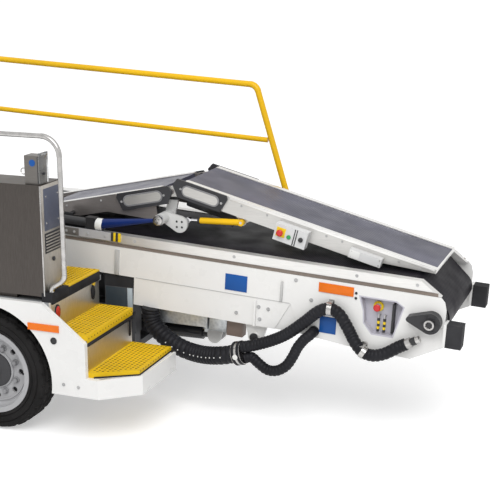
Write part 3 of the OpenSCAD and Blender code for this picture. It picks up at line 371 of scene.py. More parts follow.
for y, z, size, slot in ((-1.05, 0.757, (0.024, 0.036), 1), (-0.628, 0.757, (0.019, 0.037), 0)):
    place = facing((high_x, y, z), (1, 0, 0)) @ Matrix.Diagonal((size[0], size[1], 1, 1))
    lathe(bm, [(1.0, 0), (1.0, 0.004), (0.8, 0.009), (0.0, 0.011)], place, 28, slot)
    lathe(bm, [(1.25, 0), (1.22, 0.004), (1.0, 0.005)], place, 28, 0)
lathe(bm, [(0.016, 0), (0.016, 0.004), (0.0, 0.005)], facing((high_x, -0.616, 0.81), (1, 0, 0)), 24, 2)
block(bm, (low_x, -0.588, 0.49), (low_x + 0.004, -0.568, 0.615), bevel=0.003, slot=0)
finish_mesh("step_trim", bm, [edge_black, red_lens, yellow_disc], "chassis")

# Console: a folded stainless cabinet with a blank control panel and a louvre on its front, and on its top
# a small steel box with a clear front. The grab rail is one bent stainless tube.
# The cabinet's brushed stainless is a far darker copy of the front's stainless: painted dark reflection.
console_painted_reflection = brushed("console_painted_reflection", (0.085, 0.076, 0.07), 0.4, (40, 1, 1))
front_steel = brushed("front_steel", (0.52, 0.49, 0.45), 0.36, (1, 30, 1))
rail_steel = brushed("rail_steel", (0.46, 0.45, 0.44), 0.24, (1, 1, 1))
panel_blue = painted("panel_blue", (0.09, 0.1, 0.14), 0.4, 0.85)
blue_label = painted("blue_label", (0.008, 0.085, 0.33), 0.35, 0.9)
cover(console_painted_reflection, "console_cabinet")
cover(brushed("box_steel", (0.17, 0.16, 0.15), 0.36, (1, 1, 40)), "console_top_box")
cover(rail_steel, "grab_rail")


def clear_plastic(name):
    material, tree, shader = new_material(name)
    tree.links.new(ramp(tree, noise(tree, 40, 3), (0.04,) * 3, (0.09,) * 3), shader.inputs["Roughness"])
    shader.inputs["Base Color"].default_value = (0.93, 0.95, 0.96, 1)
    shader.inputs["Transmission Weight"].default_value = 0.9
    shader.inputs["IOR"].default_value = 1.3
    return material


low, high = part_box("console_cabinet")
front_x, out_y, in_y = high[0], low[1], high[1]
bm = bmesh.new()
block(bm, (front_x, out_y + 0.004, 0.864), (front_x + 0.003, in_y - 0.004, 1.496), bevel=0.001)
block(bm, (front_x + 0.002, out_y + 0.03, 1.235), (front_x + 0.007, in_y - 0.03, 1.475), bevel=0.002, slot=1)
block(bm, (front_x + 0.002, out_y + 0.025, 1.105), (front_x + 0.005, in_y - 0.03, 1.222), bevel=0.002, slot=2)
for k in range(6):
    z = 1.117 + k * 0.0175
    block(bm, (front_x + 0.004, out_y + 0.032, z), (front_x + 0.01, in_y - 0.038, z + 0.007), bevel=0.0015)
lathe(bm, [(0.013, 0), (0.013, 0.005), (0.009, 0.008), (0.0, 0.009)],
      facing((front_x + 0.003, out_y + 0.11, 1.06), (1, 0, 0)), 20, 2)
block(bm, (front_x - 0.004, out_y - 0.002, 0.864), (front_x + 0.004, out_y + 0.004, 1.497),
      bevel=0.0015, slot=3)
for z in (1.43, 1.28):
    for y in (out_y + 0.045, in_y - 0.045):
        screw(bm, (front_x + 0.007, y, z), (1, 0, 0), 0.004, 3)
finish_mesh("console_front", bm, [front_steel, panel_blue, black_plastic, rail_steel], "chassis")

low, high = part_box("console_top_box")
bm = bmesh.new()
block(bm, (high[0] - 0.004, low[1] - 0.004, low[2] + 0.004),
      (high[0] + 0.004, high[1] + 0.012, high[2] + 0.016), bevel=0.0015)
finish_mesh("clear_front", bm, [clear_plastic("clear_plastic")], "chassis")
bm = bmesh.new()
lathe(bm, [(0.019, 0), (0.019, 0.002), (0.0, 0.0025)],
      facing((low[0] + 0.05, low[1], high[2] - 0.04), RIGHT), 28)
block(bm, (high[0] - 0.012, low[1] - 0.001, low[2] + 0.006),
      (high[0] - 0.006, low[1] + 0.01, high[2] - 0.006), bevel=0.001, slot=1)
lathe(bm, [(0.007, 0), (0.007, 0.014), (0.0, 0.016)],
      facing((high[0] + 0.004, low[1] + 0.03, low[2] + 0.06), (1, 0, 0)), 14, 1)
hook = facing((low[0] - 0.012, low[1] + 0.01, low[2] + 0.07), RIGHT)
ring_r, wire_r = 0.017, 0.0035
wire = [math.pi * k / 5 for k in range(11)]
lathe(bm, [(ring_r + wire_r * math.cos(turn), wire_r * math.sin(turn)) for turn in wire], hook, 28, 2)
finish_mesh("box_fittings", bm, [blue_label, black_plastic, rail_steel], "chassis")


# Driver's seat and steering: a foam seat in black vinyl with a backrest, and a column with a moulded wheel.
# The seat is not in the photograph, so it is the plain suspension seat that such loaders have.
def padded_block(bm, low, high, crown, cuts=10):
    """A crowned cushion: a gridded box whose faces bulge and whose corners round off."""
    made = bmesh.ops.create_cube(bm, size=2)
    bmesh.ops.subdivide_edges(bm, edges=list({e for v in made["verts"] for e in v.link_edges}), cuts=cuts,
                              use_grid_fill=True)
    middle = (Vector(low) + Vector(high)) / 2
    half_size = (Vector(high) - Vector(low)) / 2
    for vert in bm.verts:
        p = vert.co.copy()
        norm6 = sum(abs(c) ** 6 for c in p) ** (1 / 6)
        rounded = p / norm6
        seam = 1 - 0.03 * math.exp(-((abs(p.y) - 0.55) / 0.06) ** 2)
        lift = 1 + crown * (1 - p.x ** 2) * (1 - p.y ** 2)
        vert.co = Vector((rounded.x * half_size.x, rounded.y * half_size.y,
                          rounded.z * half_size.z * (lift if p.z > 0 else 1) * seam)) + middle


vinyl, tree, shader = new_material("seat_vinyl")
tree.links.new(ramp(tree, noise(tree, 6, 4), (0.02, 0.02, 0.022), (0.035, 0.035, 0.038)),
               shader.inputs["Base Color"])
shader.inputs["Roughness"].default_value = 0.48
bump(tree, shader, noise(tree, 380, 3), 0.3, 0.0008)
low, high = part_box("driver_seat")
bm = bmesh.new()
padded_block(bm, (low[0] + 0.06, low[1], low[2] + 0.04), (high[0], high[1], low[2] + 0.19), 0.12)
cushion = finish_mesh("seat_cushion", bm, [vinyl], "chassis", ["driver_seat"], 60)
bm = bmesh.new()
padded_block(bm, (-0.27, low[1] + 0.02, -0.06), (0.27, high[1] - 0.02, 0.055), 0.15)
lean = Matrix.Translation((low[0] + 0.095, 0, low[2] + 0.45)) @ Matrix.Rotation(math.radians(80), 4, "Y")
bmesh.ops.transform(bm, matrix=lean, verts=bm.verts)
back = finish_mesh("seat_back", bm, [vinyl], "chassis", [], 60)
bm = bmesh.new()
block(bm, (low[0] + 0.07, low[1] + 0.03, low[2]), (high[0] - 0.03, high[1] - 0.03, low[2] + 0.05),
      bevel=0.008)
for y in (low[1] + 0.1, high[1] - 0.1):
    block(bm, (low[0] + 0.05, y - 0.02, low[2] + 0.02), (low[0] + 0.09, y + 0.02, low[2] + 0.3), bevel=0.006)
finish_mesh("seat_base", bm, [black_plastic], "chassis")
cover(black_plastic, "steering_column")

# Left side: the power unit under a hinged white hood of sheet steel, with louvres pressed in its top and a
# black moulded pull at its outer edge. More louvres and two panel seams are pressed in the body's skirt.
cover(painted("unit_paint", (0.06, 0.065, 0.07), 0.5, 1.4), "power_unit")
low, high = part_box("engine_hood")
bm = bmesh.new()
block(bm, (0.08, high[1] - 0.002, high[2] - 0.03), (0.22, high[1] + 0.02, high[2] - 0.012), bevel=0.005)
middle_y = (low[1] + high[1]) / 2
for k in range(9):
    x = low[0] + 0.2 + k * 0.05
    block(bm, (x, middle_y - 0.16, high[2] - 0.001), (x + 0.018, middle_y + 0.16, high[2] + 0.006),
          bevel=0.003, slot=1)
finish_mesh("hood_fittings", bm, [black_plastic, white_paint], "hood")
bm = bmesh.new()
for k in range(7):
    z = 0.64 + k * 0.03
    block(bm, (-0.3, half_w - 0.002, z), (0.5, half_w + 0.006, z + 0.014), bevel=0.004)
for x in (-0.85, 1.02):
    block(bm, (x, half_w - 0.002, 0.4), (x + 0.004, half_w + 0.002, 0.94), bevel=0.0)
finish_mesh("left_louvres", bm, [white_paint], "chassis")

# Rear bumper and boom buffers: a painted steel channel with a tow hitch, and solid rubber blocks on the
# front posts that the parked boom rests on.
cover(painted("bumper_paint", (0.03, 0.03, 0.032), 0.45, 1.6), "rear_bumper")
buffer_rubber = rubber("buffer_rubber", (0.025, 0.025, 0.027))
cover(buffer_rubber, "boom_buffers", "head_bumpers")
bm = bmesh.new()
for sign in (-1, 1):
    y0, y1 = sorted((sign * 0.415, sign * 0.4165))
    block(bm, (1.8, y0, 0.6), (1.945, y1, 0.735), bevel=0.0006)
    block(bm, (1.95, y0, 0.6), (1.985, y1, 0.738), bevel=0.0006, slot=1)
plate_blue = painted("plate_blue", (0.05, 0.065, 0.078), 0.4, 0.8)
post_pale = painted("post_pale", (0.48, 0.55, 0.6), 0.4, 0.9)
finish_mesh("buffer_plates", bm, [plate_blue, post_pale], "chassis")

# Boom: long folded steel channels and deep front plates, gloss white, joined with bolts, ribs and a plate
# that laps their joint. The top rails are extruded aluminium with a recessed lower band, screwed down.
cover(white_paint, "boom_channels", "deep_plates", "head_plates")


def extruded(name, colour, roughness, stretch=(1, 30, 30)):
    material, tree, shader = new_material(name)
    grain = noise(tree, 14, 5, stretch)
    tree.links.new(ramp(tree, grain, shade(colour, 0.9), colour), shader.inputs["Base Color"])
    gloss = ramp(tree, noise(tree, 4, 4), (roughness * 0.85,) * 3, (roughness * 1.15,) * 3)
    tree.links.new(gloss, shader.inputs["Roughness"])
    shader.inputs["Metallic"].default_value = 0.75
    bump(tree, shader, grain, 0.04, 0.0006)
    return material


rail_aluminium = extruded("rail_aluminium", (0.74, 0.73, 0.71), 0.4)
cover(rail_aluminium, "boom_rails")
boom_fall = math.radians(3.2)
boom = Matrix.Translation((1.4, 0, 1.104)) @ Matrix.Rotation(boom_fall, 4, "Y")
side_y = 0.426


def on_side(u, w, sign=-1, out=0.0):
    """A point on the boom's side plate, in metres along and across the boom."""
    return boom @ Vector((u, sign * (side_y + out), w))


bm = bmesh.new()
PLATE_BOLTS = [(1.44, -0.31), (1.5, -0.315), (1.76, -0.215), (1.3, -0.37), (1.45, -0.385), (1.66, -0.11)]
RAIL_BOLTS = [(u, -0.026) for u in (-5.2, -4.2, -3.2, -2.2, -1.2, -0.2, 0.62, 1.27, 2.02, 2.37)]
for sign in (-1, 1):
    for u, w in PLATE_BOLTS:
        screw(bm, on_side(u, w, sign), (0, sign, 0), 0.008)
    for u, w in RAIL_BOLTS:
        flush = facing(on_side(u, w, sign, 0.004), (0, sign, 0))
        lathe(bm, [(0.01, 0), (0.0095, 0.0008), (0.005, 0.001), (0.004, 0.0003), (0, 0.0003)], flush, 16)
    lug = facing(on_side(1.42, -0.506, sign), (0, sign, 0))
    lathe(bm, [(0.027, 0), (0.027, 0.003), (0.022, 0.005), (0, 0.005)], lug, 28, 1)
finish_mesh("boom_bolts", bm, [bolt_steel, black_plastic], "boom")

bm = bmesh.new()
for sign in (-1, 1):
    y0, y1 = sorted((sign * side_y, sign * (side_y + 0.012)))
    for u in (0.488, -1.0, -2.6, -4.2):
        block(bm, (u, y0, -0.25), (u + 0.03, y1, -0.096), boom, 0.003)
    block(bm, (1.57, y0, -0.252), (1.584, y1, -0.129), boom, 0.003)
    y0, y1 = sorted((sign * side_y, sign * (side_y + 0.0025)))
    block(bm, (0.63, y0, -0.258), (1.63, y1, -0.254), boom, 0.0008)
# The ribs are white steel like the boom; their grey colour is painted shade.
finish_mesh("boom_ribs", bm, [painted("rib_painted_shade", (0.5, 0.5, 0.49), 0.4, 0.93)], "boom")

bm = bmesh.new()
LAP_CORNERS = [(1.535, -0.43), (1.735, -0.43), (1.655, -0.262), (1.615, -0.262)]
for sign in (-1, 1):
    face = bm.faces.new([bm.verts.new(on_side(u, w, sign, -0.0065)) for u, w in LAP_CORNERS])
    inner = bmesh.ops.extrude_face_region(bm, geom=[face])["geom"]
    bmesh.ops.translate(bm, verts=[v for v in inner if isinstance(v, bmesh.types.BMVert)],
                        vec=(0, -sign * 0.005, 0))
finish_mesh("lap_plates", bm, [white_paint], "boom")

# Brown strips along the rails' lower edge, in the recessed band: painted shade under the rail lip.
bm = bmesh.new()
for sign in (-1, 1):
    y0, y1 = sorted((sign * (side_y - 0.0102), sign * (side_y - 0.0075)))
    block(bm, (-5.44, y0, -0.0795), (2.49, y1, -0.06), boom, 0)
finish_mesh("rail_shade_bands", bm, [painted("rail_band_painted_shade", (0.24, 0.2, 0.17), 0.5, 0.8)], "boom")

bm = bmesh.new()
y = -side_y
block(bm, (1.22, y - 0.003, -0.235), (1.36, y, -0.135), boom, 0.001)
block(bm, (1.82, y - 0.003, -0.4), (1.92, y, -0.3), boom, 0.001)
block(bm, (1.80, y - 0.006, -0.155), (2.01, y, -0.098), boom, 0.003, 1)
for k in range(2):
    button = facing(on_side(2.024, -0.13 - 0.03 * k), RIGHT)
    lathe(bm, [(0.008, 0), (0.008, 0.003), (0.0, 0.004)], button, 14, 2)
finish_mesh("boom_plates", bm, [blue_label, amber_lens, black_plastic], "boom")


# Belts: endless rubber belts with a fine ribbed top, run over steel drums. The main belt is nearly black,
# and the extension's belts are worn smooth, so that they shine at a low angle; their lighter bluish colour is
# painted sheen.
def belt_rubber(name, colour, roughness, gloss):
    material, tree, shader = new_material(name)
    shader.inputs["Specular IOR Level"].default_value = gloss
    tree.links.new(ramp(tree, noise(tree, 3, 6), shade(colour, 0.75), shade(colour, 1.15)),
                   shader.inputs["Base Color"])
    tree.links.new(ramp(tree, noise(tree, 7, 4), (roughness * 0.85,) * 3, (roughness * 1.15,) * 3),
                   shader.inputs["Roughness"])
    ribs = tree.nodes.new("ShaderNodeTexWave")
    ribs.bands_direction = "X"
    ribs.inputs["Scale"].default_value = 26
    place = tree.nodes.new("ShaderNodeTexCoord")
    tree.links.new(place.outputs["Object"], ribs.inputs["Vector"])
    bump(tree, shader, ribs.outputs["Fac"], 0.35, 0.002)
    return material


cover(belt_rubber("belt_dark", (0.012, 0.0105, 0.0145), 0.5, 0.1), "main_belt")
# The extension belts' lighter bluish base colour is painted sheen.
cover(belt_rubber("belt_painted_sheen", (0.066, 0.066, 0.1), 0.36, 0.3), "ext_rear_belt", "ext_front_belt")
cover(brushed("drum_steel", (0.42, 0.43, 0.44), 0.35, (1, 40, 1)), "belt_drums")

# Boom head: a hydraulic belt motor with a turned hub, bolted to the right plate, and a recessed control
# panel with an emergency stop and two banded levers.
motor_paint = painted("motor_paint", (0.03, 0.03, 0.032), 0.4, 1.6)
cover(motor_paint, "head_motor")
panel_lilac = painted("panel_lilac", (0.55, 0.54, 0.6), 0.42, 0.9)
cover(panel_lilac, "control_panel")
red_knob = painted("red_knob", (0.6, 0.02, 0.02), 0.3, 0.85, 0.4)
hazard_yellow = painted("hazard_yellow", (0.86, 0.6, 0.02), 0.4, 0.85)
bm = bmesh.new()
MOTOR = (2.47, -0.222)
hub = facing(on_side(*MOTOR, -1, 0.082), RIGHT)
lathe(bm, [(0.029, 0), (0.029, 0.004), (0.02, 0.006), (0.017, 0.002)], hub, 32, 0)
lathe(bm, [(0.017, 0.002), (0.012, 0.008), (0.0, 0.009)], hub, 24, 1)
for k in range(6):
    turn = 2 * math.pi * k / 6
    u, w = MOTOR[0] + 0.046 * math.cos(turn), MOTOR[1] + 0.046 * math.sin(turn)
    screw(bm, on_side(u, w, -1, 0.062), RIGHT, 0.005, 1)
finish_mesh("motor_fittings", bm, [rail_steel, motor_paint], "boom")

floor_out = -0.052
up_boom = boom.to_3x3() @ Vector((0, 0, 1))
bm = bmesh.new()
stop = facing(on_side(2.15, -0.2, -1, -0.014), RIGHT)
lathe(bm, [(0.03, -0.036), (0.03, -0.028), (0.027, -0.026), (0.0, -0.026)], stop, 32, 0)
lathe(bm, [(0.013, -0.026), (0.013, 0.0), (0.021, 0.004), (0.021, 0.012), (0.016, 0.017), (0.0, 0.018)],
      stop, 32, 1)
BAND_R, BAND_H = 0.0085, 0.0158
for u in (2.165, 2.2):
    for k, slot in enumerate((2, 0, 2, 0, 2)):
        band = facing(on_side(u, -0.258 - 0.016 * k - BAND_H, -1, -0.008), up_boom)
        lathe(bm, [(0, 0), (BAND_R, 0), (BAND_R, BAND_H), (0, BAND_H)], band, 14, slot)
    stem = facing(on_side(u, -0.25, -1, floor_out + 0.001), RIGHT)
    lathe(bm, [(0.004, 0), (0.004, 0.036), (0, 0.037)], stem, 10, 3)
    lathe(bm, [(0.004, 0), (0.004, 0.03), (0, 0.031)], facing(on_side(u, -0.26, -1, -0.008), up_boom), 10, 3)
block(bm, (2.238, -side_y + 0.008, -0.34), (2.252, -side_y + 0.051, -0.165), boom, 0.003, 2)
for u, w in ((2.09, -0.155), (2.24, -0.155), (2.15, -0.34)):
    screw(bm, on_side(u, w, -1, floor_out), RIGHT, 0.005, 3)
finish_mesh("control_fittings", bm, [hazard_yellow, red_knob, black_plastic, rail_steel], "boom")

# Hoses: corrugated black sleeves that carry the hydraulic lines from below the boom to its head. They hang
# in loops between steel clamps and a moulded collar, where the bundle splits in two.
hose_black = rubber("hose_black", (0.011, 0.011, 0.013), 0.42)
HOSES = {
    "bundle": (0.056, 0.02, [
        (0.740, -0.425, -0.4303), (0.740, -0.425, -0.470), (0.760, -0.425, -0.530), (0.820, -0.425, -0.590),
        (0.900, -0.428, -0.635), (1.000, -0.440, -0.660), (1.120, -0.460, -0.660), (1.240, -0.480, -0.635),
        (1.330, -0.485, -0.605)]),
    "branch": (0.036, 0.016, [
        (1.3768, -0.4882, -0.5536), (1.433, -0.490, -0.534), (1.540, -0.478, -0.490), (1.640, -0.472, -0.430),
        (1.740, -0.470, -0.340), (1.820, -0.468, -0.262), (1.885, -0.468, -0.235), (1.945, -0.468, -0.258),
        (2.000, -0.468, -0.330), (2.050, -0.468, -0.410), (2.100, -0.468, -0.458), (2.160, -0.468, -0.470),
        (2.230, -0.468, -0.445), (2.300, -0.468, -0.395), (2.345, -0.466, -0.368)]),
    "loop": (0.032, 0.016, [
        (1.3998, -0.4882, -0.6196), (1.437, -0.490, -0.607), (1.490, -0.512, -0.628), (1.550, -0.520, -0.655),
        (1.610, -0.520, -0.648), (1.662, -0.512, -0.610), (1.695, -0.502, -0.550), (1.718, -0.494, -0.492),
        (1.752, -0.490, -0.440), (1.778, -0.482, -0.414), (1.790, -0.458, -0.400), (1.790, -0.4263, -0.400)]),
}


def smooth_path(points, step):
    """A Catmull-Rom curve through the points, cut into even steps."""
    fine = []
    for i in range(len(points) - 1):
        a, b, c, d = (points[max(0, min(len(points) - 1, i + k))] for k in (-1, 0, 1, 2))
        for k in range(24):
            t = k / 24
            fine.append(0.5 * ((2 * b) + (c - a) * t + (2 * a - 5 * b + 4 * c - d) * t ** 2
                               + (3 * b - a - 3 * c + d) * t ** 3))
    fine.append(points[-1])
    path, gone = [fine[0]], 0.0
    for a, b in zip(fine, fine[1:]):
        gone += (b - a).length
        if gone >= step:
            path.append(b)
            gone = 0.0
    if gone > 0:
        path.append(fine[-1])
    return path


def sweep(bm, path, radius_at, sides, slot=0):
    """A closed tube along the path, whose radius may change from point to point."""
    rows = []
    for i, point in enumerate(path):
        along = (path[min(i + 1, len(path) - 1)] - path[max(i - 1, 0)]).normalized()
        across = along.cross(Vector((0.02, 1, 0.03))).normalized()
        other = along.cross(across)
        ring = [2 * math.pi * k / sides for k in range(sides)]
        rows.append([bm.verts.new(point + radius_at(i) * (math.cos(turn) * across + math.sin(turn) * other))
                     for turn in ring])
    for here, there in zip(rows, rows[1:]):
        for k in range(sides):
            face = bm.faces.new((here[k], here[(k + 1) % sides], there[(k + 1) % sides], there[k]))
            face.material_index = slot
    bm.faces.new(rows[0]).material_index = slot
    bm.faces.new(rows[-1]).material_index = slot


hoses = []
for name, (radius, pitch, route) in HOSES.items():
    path = smooth_path([boom @ Vector(p) for p in route], pitch / 4)
    bm = bmesh.new()
    sweep(bm, path, lambda i: radius * (1.0, 0.99, 0.9, 0.99)[i % 4], 20)
    hose = finish_mesh(f"hose_{name}", bm, [hose_black], "boom", ["boom_hoses"], 40)
    hoses.append(path)
cover(rail_steel, "hose_clamps")

bundle, branch = hoses[:2]
bm = bmesh.new()
for u, w in ((1.885, -0.235), (2.1, -0.458)):
    seat = boom @ Vector((u, -0.468, w))
    near = min(range(len(branch)), key=lambda k: (branch[k] - seat).length)
    ring = facing(branch[near], branch[near + 1] - branch[near - 1])
    lathe(bm, [(0.0365, -0.014), (0.0385, -0.014), (0.0385, 0.014), (0.0365, 0.014)], ring, 40)
    block(bm, (u - 0.014, -0.5, w + 0.036), (u + 0.014, -0.428, w + 0.042), boom, 0.002)
heading = (branch[-1] - branch[-3]).normalized()
for k, (r, slot) in enumerate(((0.03, 0), (0.024, 1), (0.02, 0))):
    fitting = facing(branch[-1] + heading * 0.026 * k, heading)
    lathe(bm, [(r, 0), (r, 0.03), (r * 0.8, 0.034), (0, 0.034)], fitting, 12, slot)
finish_mesh("hose_fittings", bm, [rail_steel, black_plastic], "boom")
pale_plastic = painted("pale_plastic", (0.75, 0.75, 0.73), 0.4, 0.93)
bm = bmesh.new()
collar_a, collar_b = boom @ Vector((1.3314, -0.485, -0.6046)), boom @ Vector((1.3866, -0.4882, -0.5861))
collar = facing(collar_a, collar_b - collar_a)
lathe(bm, [(0.0702, 0.002), (0.073, 0.006), (0.073, 0.018), (0.0702, 0.022)], collar, 40)
lathe(bm, [(0.0702, 0.036), (0.073, 0.04), (0.073, 0.052), (0.0702, 0.056)], collar, 40)
tie = facing(collar_a + Vector((0.025, -0.0705, 0.004)), RIGHT)
lathe(bm, [(0.016, 0), (0.016, 0.006), (0.0, 0.008)], tie, 20, 1)
# Twelve pale dots along the bundle: painted highlights.
for k in range(12):
    point = bundle[round((0.35 + 0.05 * k) * (len(bundle) - 1))]
    highlight_dot = facing(point + Vector((0, -0.0555, 0.004)), RIGHT)
    lathe(bm, [(0.004, 0), (0.004, 0.002), (0, 0.0025)], highlight_dot, 8, 1)
finish_mesh("collar_rings", bm, [hose_black, pale_plastic], "boom")


# Beams below the deep plates and the handrail on the left: galvanised box beams, and bent steel tube
# painted yellow, with feet bolted to the boom's rail.
def galvanised(name):
    material, tree, shader = new_material(name)
    spangle = tree.nodes.new("ShaderNodeTexVoronoi")
    spangle.inputs["Scale"].default_value = 55
    place = tree.nodes.new("ShaderNodeTexCoord")
    tree.links.new(place.outputs["Object"], spangle.inputs["Vector"])
    tree.links.new(ramp(tree, spangle.outputs["Distance"], (0.4, 0.42, 0.44), (0.58, 0.6, 0.61), 0.0, 0.8),
                   shader.inputs["Base Color"])
    tree.links.new(ramp(tree, noise(tree, 8, 4), (0.36,) * 3, (0.55,) * 3), shader.inputs["Roughness"])
    shader.inputs["Metallic"].default_value = 0.8
    return material


zinc = galvanised("zinc")
cover(zinc, "sub_rails")
bm = bmesh.new()
for sign in (-1, 1):
    y0, y1 = sorted((sign * 0.3, sign * 0.366))
    block(bm, (1.1055, y0, -0.532), (1.22, y1, -0.4305), boom, 0.003)
    block(bm, (1.2205, y0, -0.545), (1.325, y1, -0.4305), boom, 0.004, 1)
block_brown = painted("block_brown", (0.27, 0.21, 0.18), 0.5, 0.85)
finish_mesh("beam_ends", bm, [zinc, block_brown], "boom")
yellow_paint = painted("yellow_paint", (0.85, 0.5, 0.008), 0.34, 0.88)
cover(yellow_paint, "handrail", "handrail_bars")
bm = bmesh.new()
for u in (1.365, -1.25, -2.4, -3.5, -4.6):
    for du in (-0.02, 0.02):
        screw(bm, boom @ Vector((u + du, side_y + 0.035, -0.036)), LEFT, 0.006)
finish_mesh("handrail_bolts", bm, [bolt_steel], "boom")

# Lift cylinders: black painted barrels under the boom, with hard chromed rods and turned glands. Their
# eyes turn on pins in welded cheeks.
cover(painted("cylinder_paint", (0.025, 0.025, 0.027), 0.35, 1.6, 0.3), "lift_barrels")
chrome, tree, shader = new_material("chrome")
tree.links.new(ramp(tree, noise(tree, 30, 3), (0.7, 0.7, 0.72), (0.78, 0.78, 0.8)),
               shader.inputs["Base Color"])
shader.inputs["Metallic"].default_value = 1.0
shader.inputs["Roughness"].default_value = 0.12
cover(chrome, "lift_rods", "tilt_rod")
lift_eye, lift_foot = Vector((2.46, 0, 0.43)), Vector((-0.2, 0, 0.4))
lift_dir = (lift_foot - lift_eye).normalized()
gland = (lift_foot - lift_eye).length - 0.26
bm = bmesh.new()
for y in (-0.2, 0.2):
    spot = facing(lift_eye + lift_dir * (gland - 0.06) + Vector((0, y, 0)), lift_dir)
    lathe(bm, [(0.0402, 0), (0.046, 0.004), (0.046, 0.05), (0.042, 0.055), (0.03, 0.064)], spot, 32)
finish_mesh("lift_glands", bm, [nut_steel], "lift_barrel")

# Extension decks: extruded aluminium side rails with a bright top strip, black moulded end caps with a grey
# insert, a thin nose with a pale edge strip, and a black block that closes the front deck's underside. The
# black of that block, and the rear deck's rails being darker than the front's, are painted shade.
deck_aluminium = extruded("deck_aluminium", (0.6, 0.59, 0.57), 0.42)
cover(deck_aluminium, "ext_front_deck")
# The rear deck's rails are a darker copy of the same aluminium: painted shade.
cover(extruded("aluminium_painted_shade", (0.3, 0.275, 0.265), 0.45), "ext_rear_deck")
cap_black = painted("cap_black", (0.03, 0.03, 0.033), 0.42, 1.5)
cover(cap_black, "ext_front_caps", "ext_rear_caps")
cap_grey = painted("cap_grey", (0.27, 0.27, 0.28), 0.45, 0.85)
peak = Matrix.Translation((2.2, 0, 1.335))
peak_w = 0.8 * math.sin(boom_fall) + 0.231 * math.cos(boom_fall)
front_fall = boom_fall + math.asin((peak_w + 0.0548) / 1.67)
rear_rise = math.asin((peak_w + 0.0105) / 1.09) - boom_fall
front_deck = peak @ Matrix.Rotation(front_fall, 4, "Y")
rear_deck = peak @ Matrix.Rotation(-rear_rise, 4, "Y")
ext_y, cap_t = 0.27, 0.016


def stadium(bm, place, a, b, r, out, sign, slot=0):
    """A flat pill from a to b in a side view, standing out of the side by a small thickness."""
    along = (Vector(b) - Vector(a)).normalized()
    turn = math.atan2(along.y, along.x)
    ring = []
    for end, start in ((a, turn + math.pi / 2), (b, turn - math.pi / 2)):
        for k in range(13):
            angle = start + math.pi * k / 12
            ring.append(Vector(end) + r * Vector((math.cos(angle), math.sin(angle))))
    before = set(bm.faces)
    base = bm.faces.new([bm.verts.new(place @ Vector((p.x, sign * out[0], p.y))) for p in ring])
    top = bmesh.ops.extrude_face_region(bm, geom=[base])["geom"]
    bmesh.ops.translate(bm, verts=[v for v in top if isinstance(v, bmesh.types.BMVert)],
                        vec=(0, sign * (out[1] - out[0]), 0))
    for face in set(bm.faces) - before:
        face.material_index = slot


for name, place, body, top, far in (("front", front_deck, "front_deck", 0.088, 0.358),
                                    ("rear", rear_deck, "extension", 0.037, -0.38)):
    bm = bmesh.new()
    middle = top - 0.05
    ahead = 1 if far > 0 else -1
    ends = (ahead * 0.1, middle), (far - ahead * 0.08, middle)
    face_y = ext_y + cap_t
    for sign in (-1, 1):
        stadium(bm, place, *ends, 0.036, (face_y, face_y + 0.004), sign, 0)
        stadium(bm, place, *ends, 0.027, (face_y + 0.004, face_y + 0.006), sign, 1)
        for s in (ahead * 0.055, far - ahead * 0.03):
            screw(bm, place @ Vector((s, sign * face_y, middle)), (0, sign, 0), 0.005, 2)
    finish_mesh(f"cap_inserts_{name}", bm, [cap_grey, deck_aluminium, bolt_steel], body)

strip_white = extruded("strip_white", (0.86, 0.85, 0.83), 0.34)
bm = bmesh.new()
for sign in (-1, 1):
    y0, y1 = sorted((sign * (ext_y - 0.04), sign * (ext_y + 0.003)))
    block(bm, (0.07, y0, 0.0875), (1.668, y1, 0.0925), front_deck, 0.0015)
    y0, y1 = sorted((sign * ext_y, sign * (ext_y + 0.003)))
    block(bm, (0.37, y0, 0.074), (1.66, y1, 0.0875), front_deck, 0.001)
    for s in (0.45, 0.62, 1.0, 1.1, 1.45, 1.58):
        screw(bm, front_deck @ Vector((s, sign * ext_y, 0.06)), (0, sign, 0), 0.005, 1)
block(bm, (1.664, -ext_y, 0.062), (1.672, ext_y, 0.092), front_deck, 0.0025)
finish_mesh("front_strips", bm, [strip_white, bolt_steel], "front_deck")
bm = bmesh.new()
# A black block for the front deck's underside: its black is painted shade.
block(bm, (0.075, -0.19, -0.085), (0.42, 0.19, 0.047), front_deck, 0.012)
finish_mesh("deck_underside_shade", bm, [cap_black], "front_deck")
bm = bmesh.new()
for sign in (-1, 1):
    y0, y1 = sorted((sign * (ext_y - 0.04), sign * (ext_y + 0.003)))
    block(bm, (-1.088, y0, 0.0365), (-0.07, y1, 0.0415), rear_deck, 0.0015)
    for s in (-0.95, -0.75, -0.5):
        screw(bm, rear_deck @ Vector((s, sign * ext_y, 0.012)), (0, sign, 0), 0.005, 1)
finish_mesh("rear_strips", bm, [strip_white, bolt_steel], "extension")

# Carriage and folding arms: zinc plated plates on the boom's rail, blue tapered arms with a white collar,
# and pale cast brackets that carry the fold's hinge.
cover(painted("blue_paint", (0.003, 0.021, 0.14), 0.45, 0.8, 0.1), "support_arm")


def two_coats(name, axis, limit, below, above):
    """Paint of two colours, parted where the piece's own X, Y or Z, without its sign, passes a limit."""
    material, tree, shader = new_material(name)
    where = tree.nodes.new("ShaderNodeTexCoord")
    split = tree.nodes.new("ShaderNodeSeparateXYZ")
    size = tree.nodes.new("ShaderNodeMath")
    size.operation = "ABSOLUTE"
    beyond = tree.nodes.new("ShaderNodeMath")
    beyond.operation = "GREATER_THAN"
    beyond.inputs[1].default_value = limit
    tree.links.new(where.outputs["Object"], split.inputs["Vector"])
    tree.links.new(split.outputs[axis], size.inputs[0])
    tree.links.new(size.outputs["Value"], beyond.inputs[0])
    tree.links.new(ramp(tree, beyond.outputs["Value"], below, above, 0.2, 0.8), shader.inputs["Base Color"])
    shader.inputs["Roughness"].default_value = 0.42
    bump(tree, shader, noise(tree, 300, 2), 0.08, 0.0006)
    return material


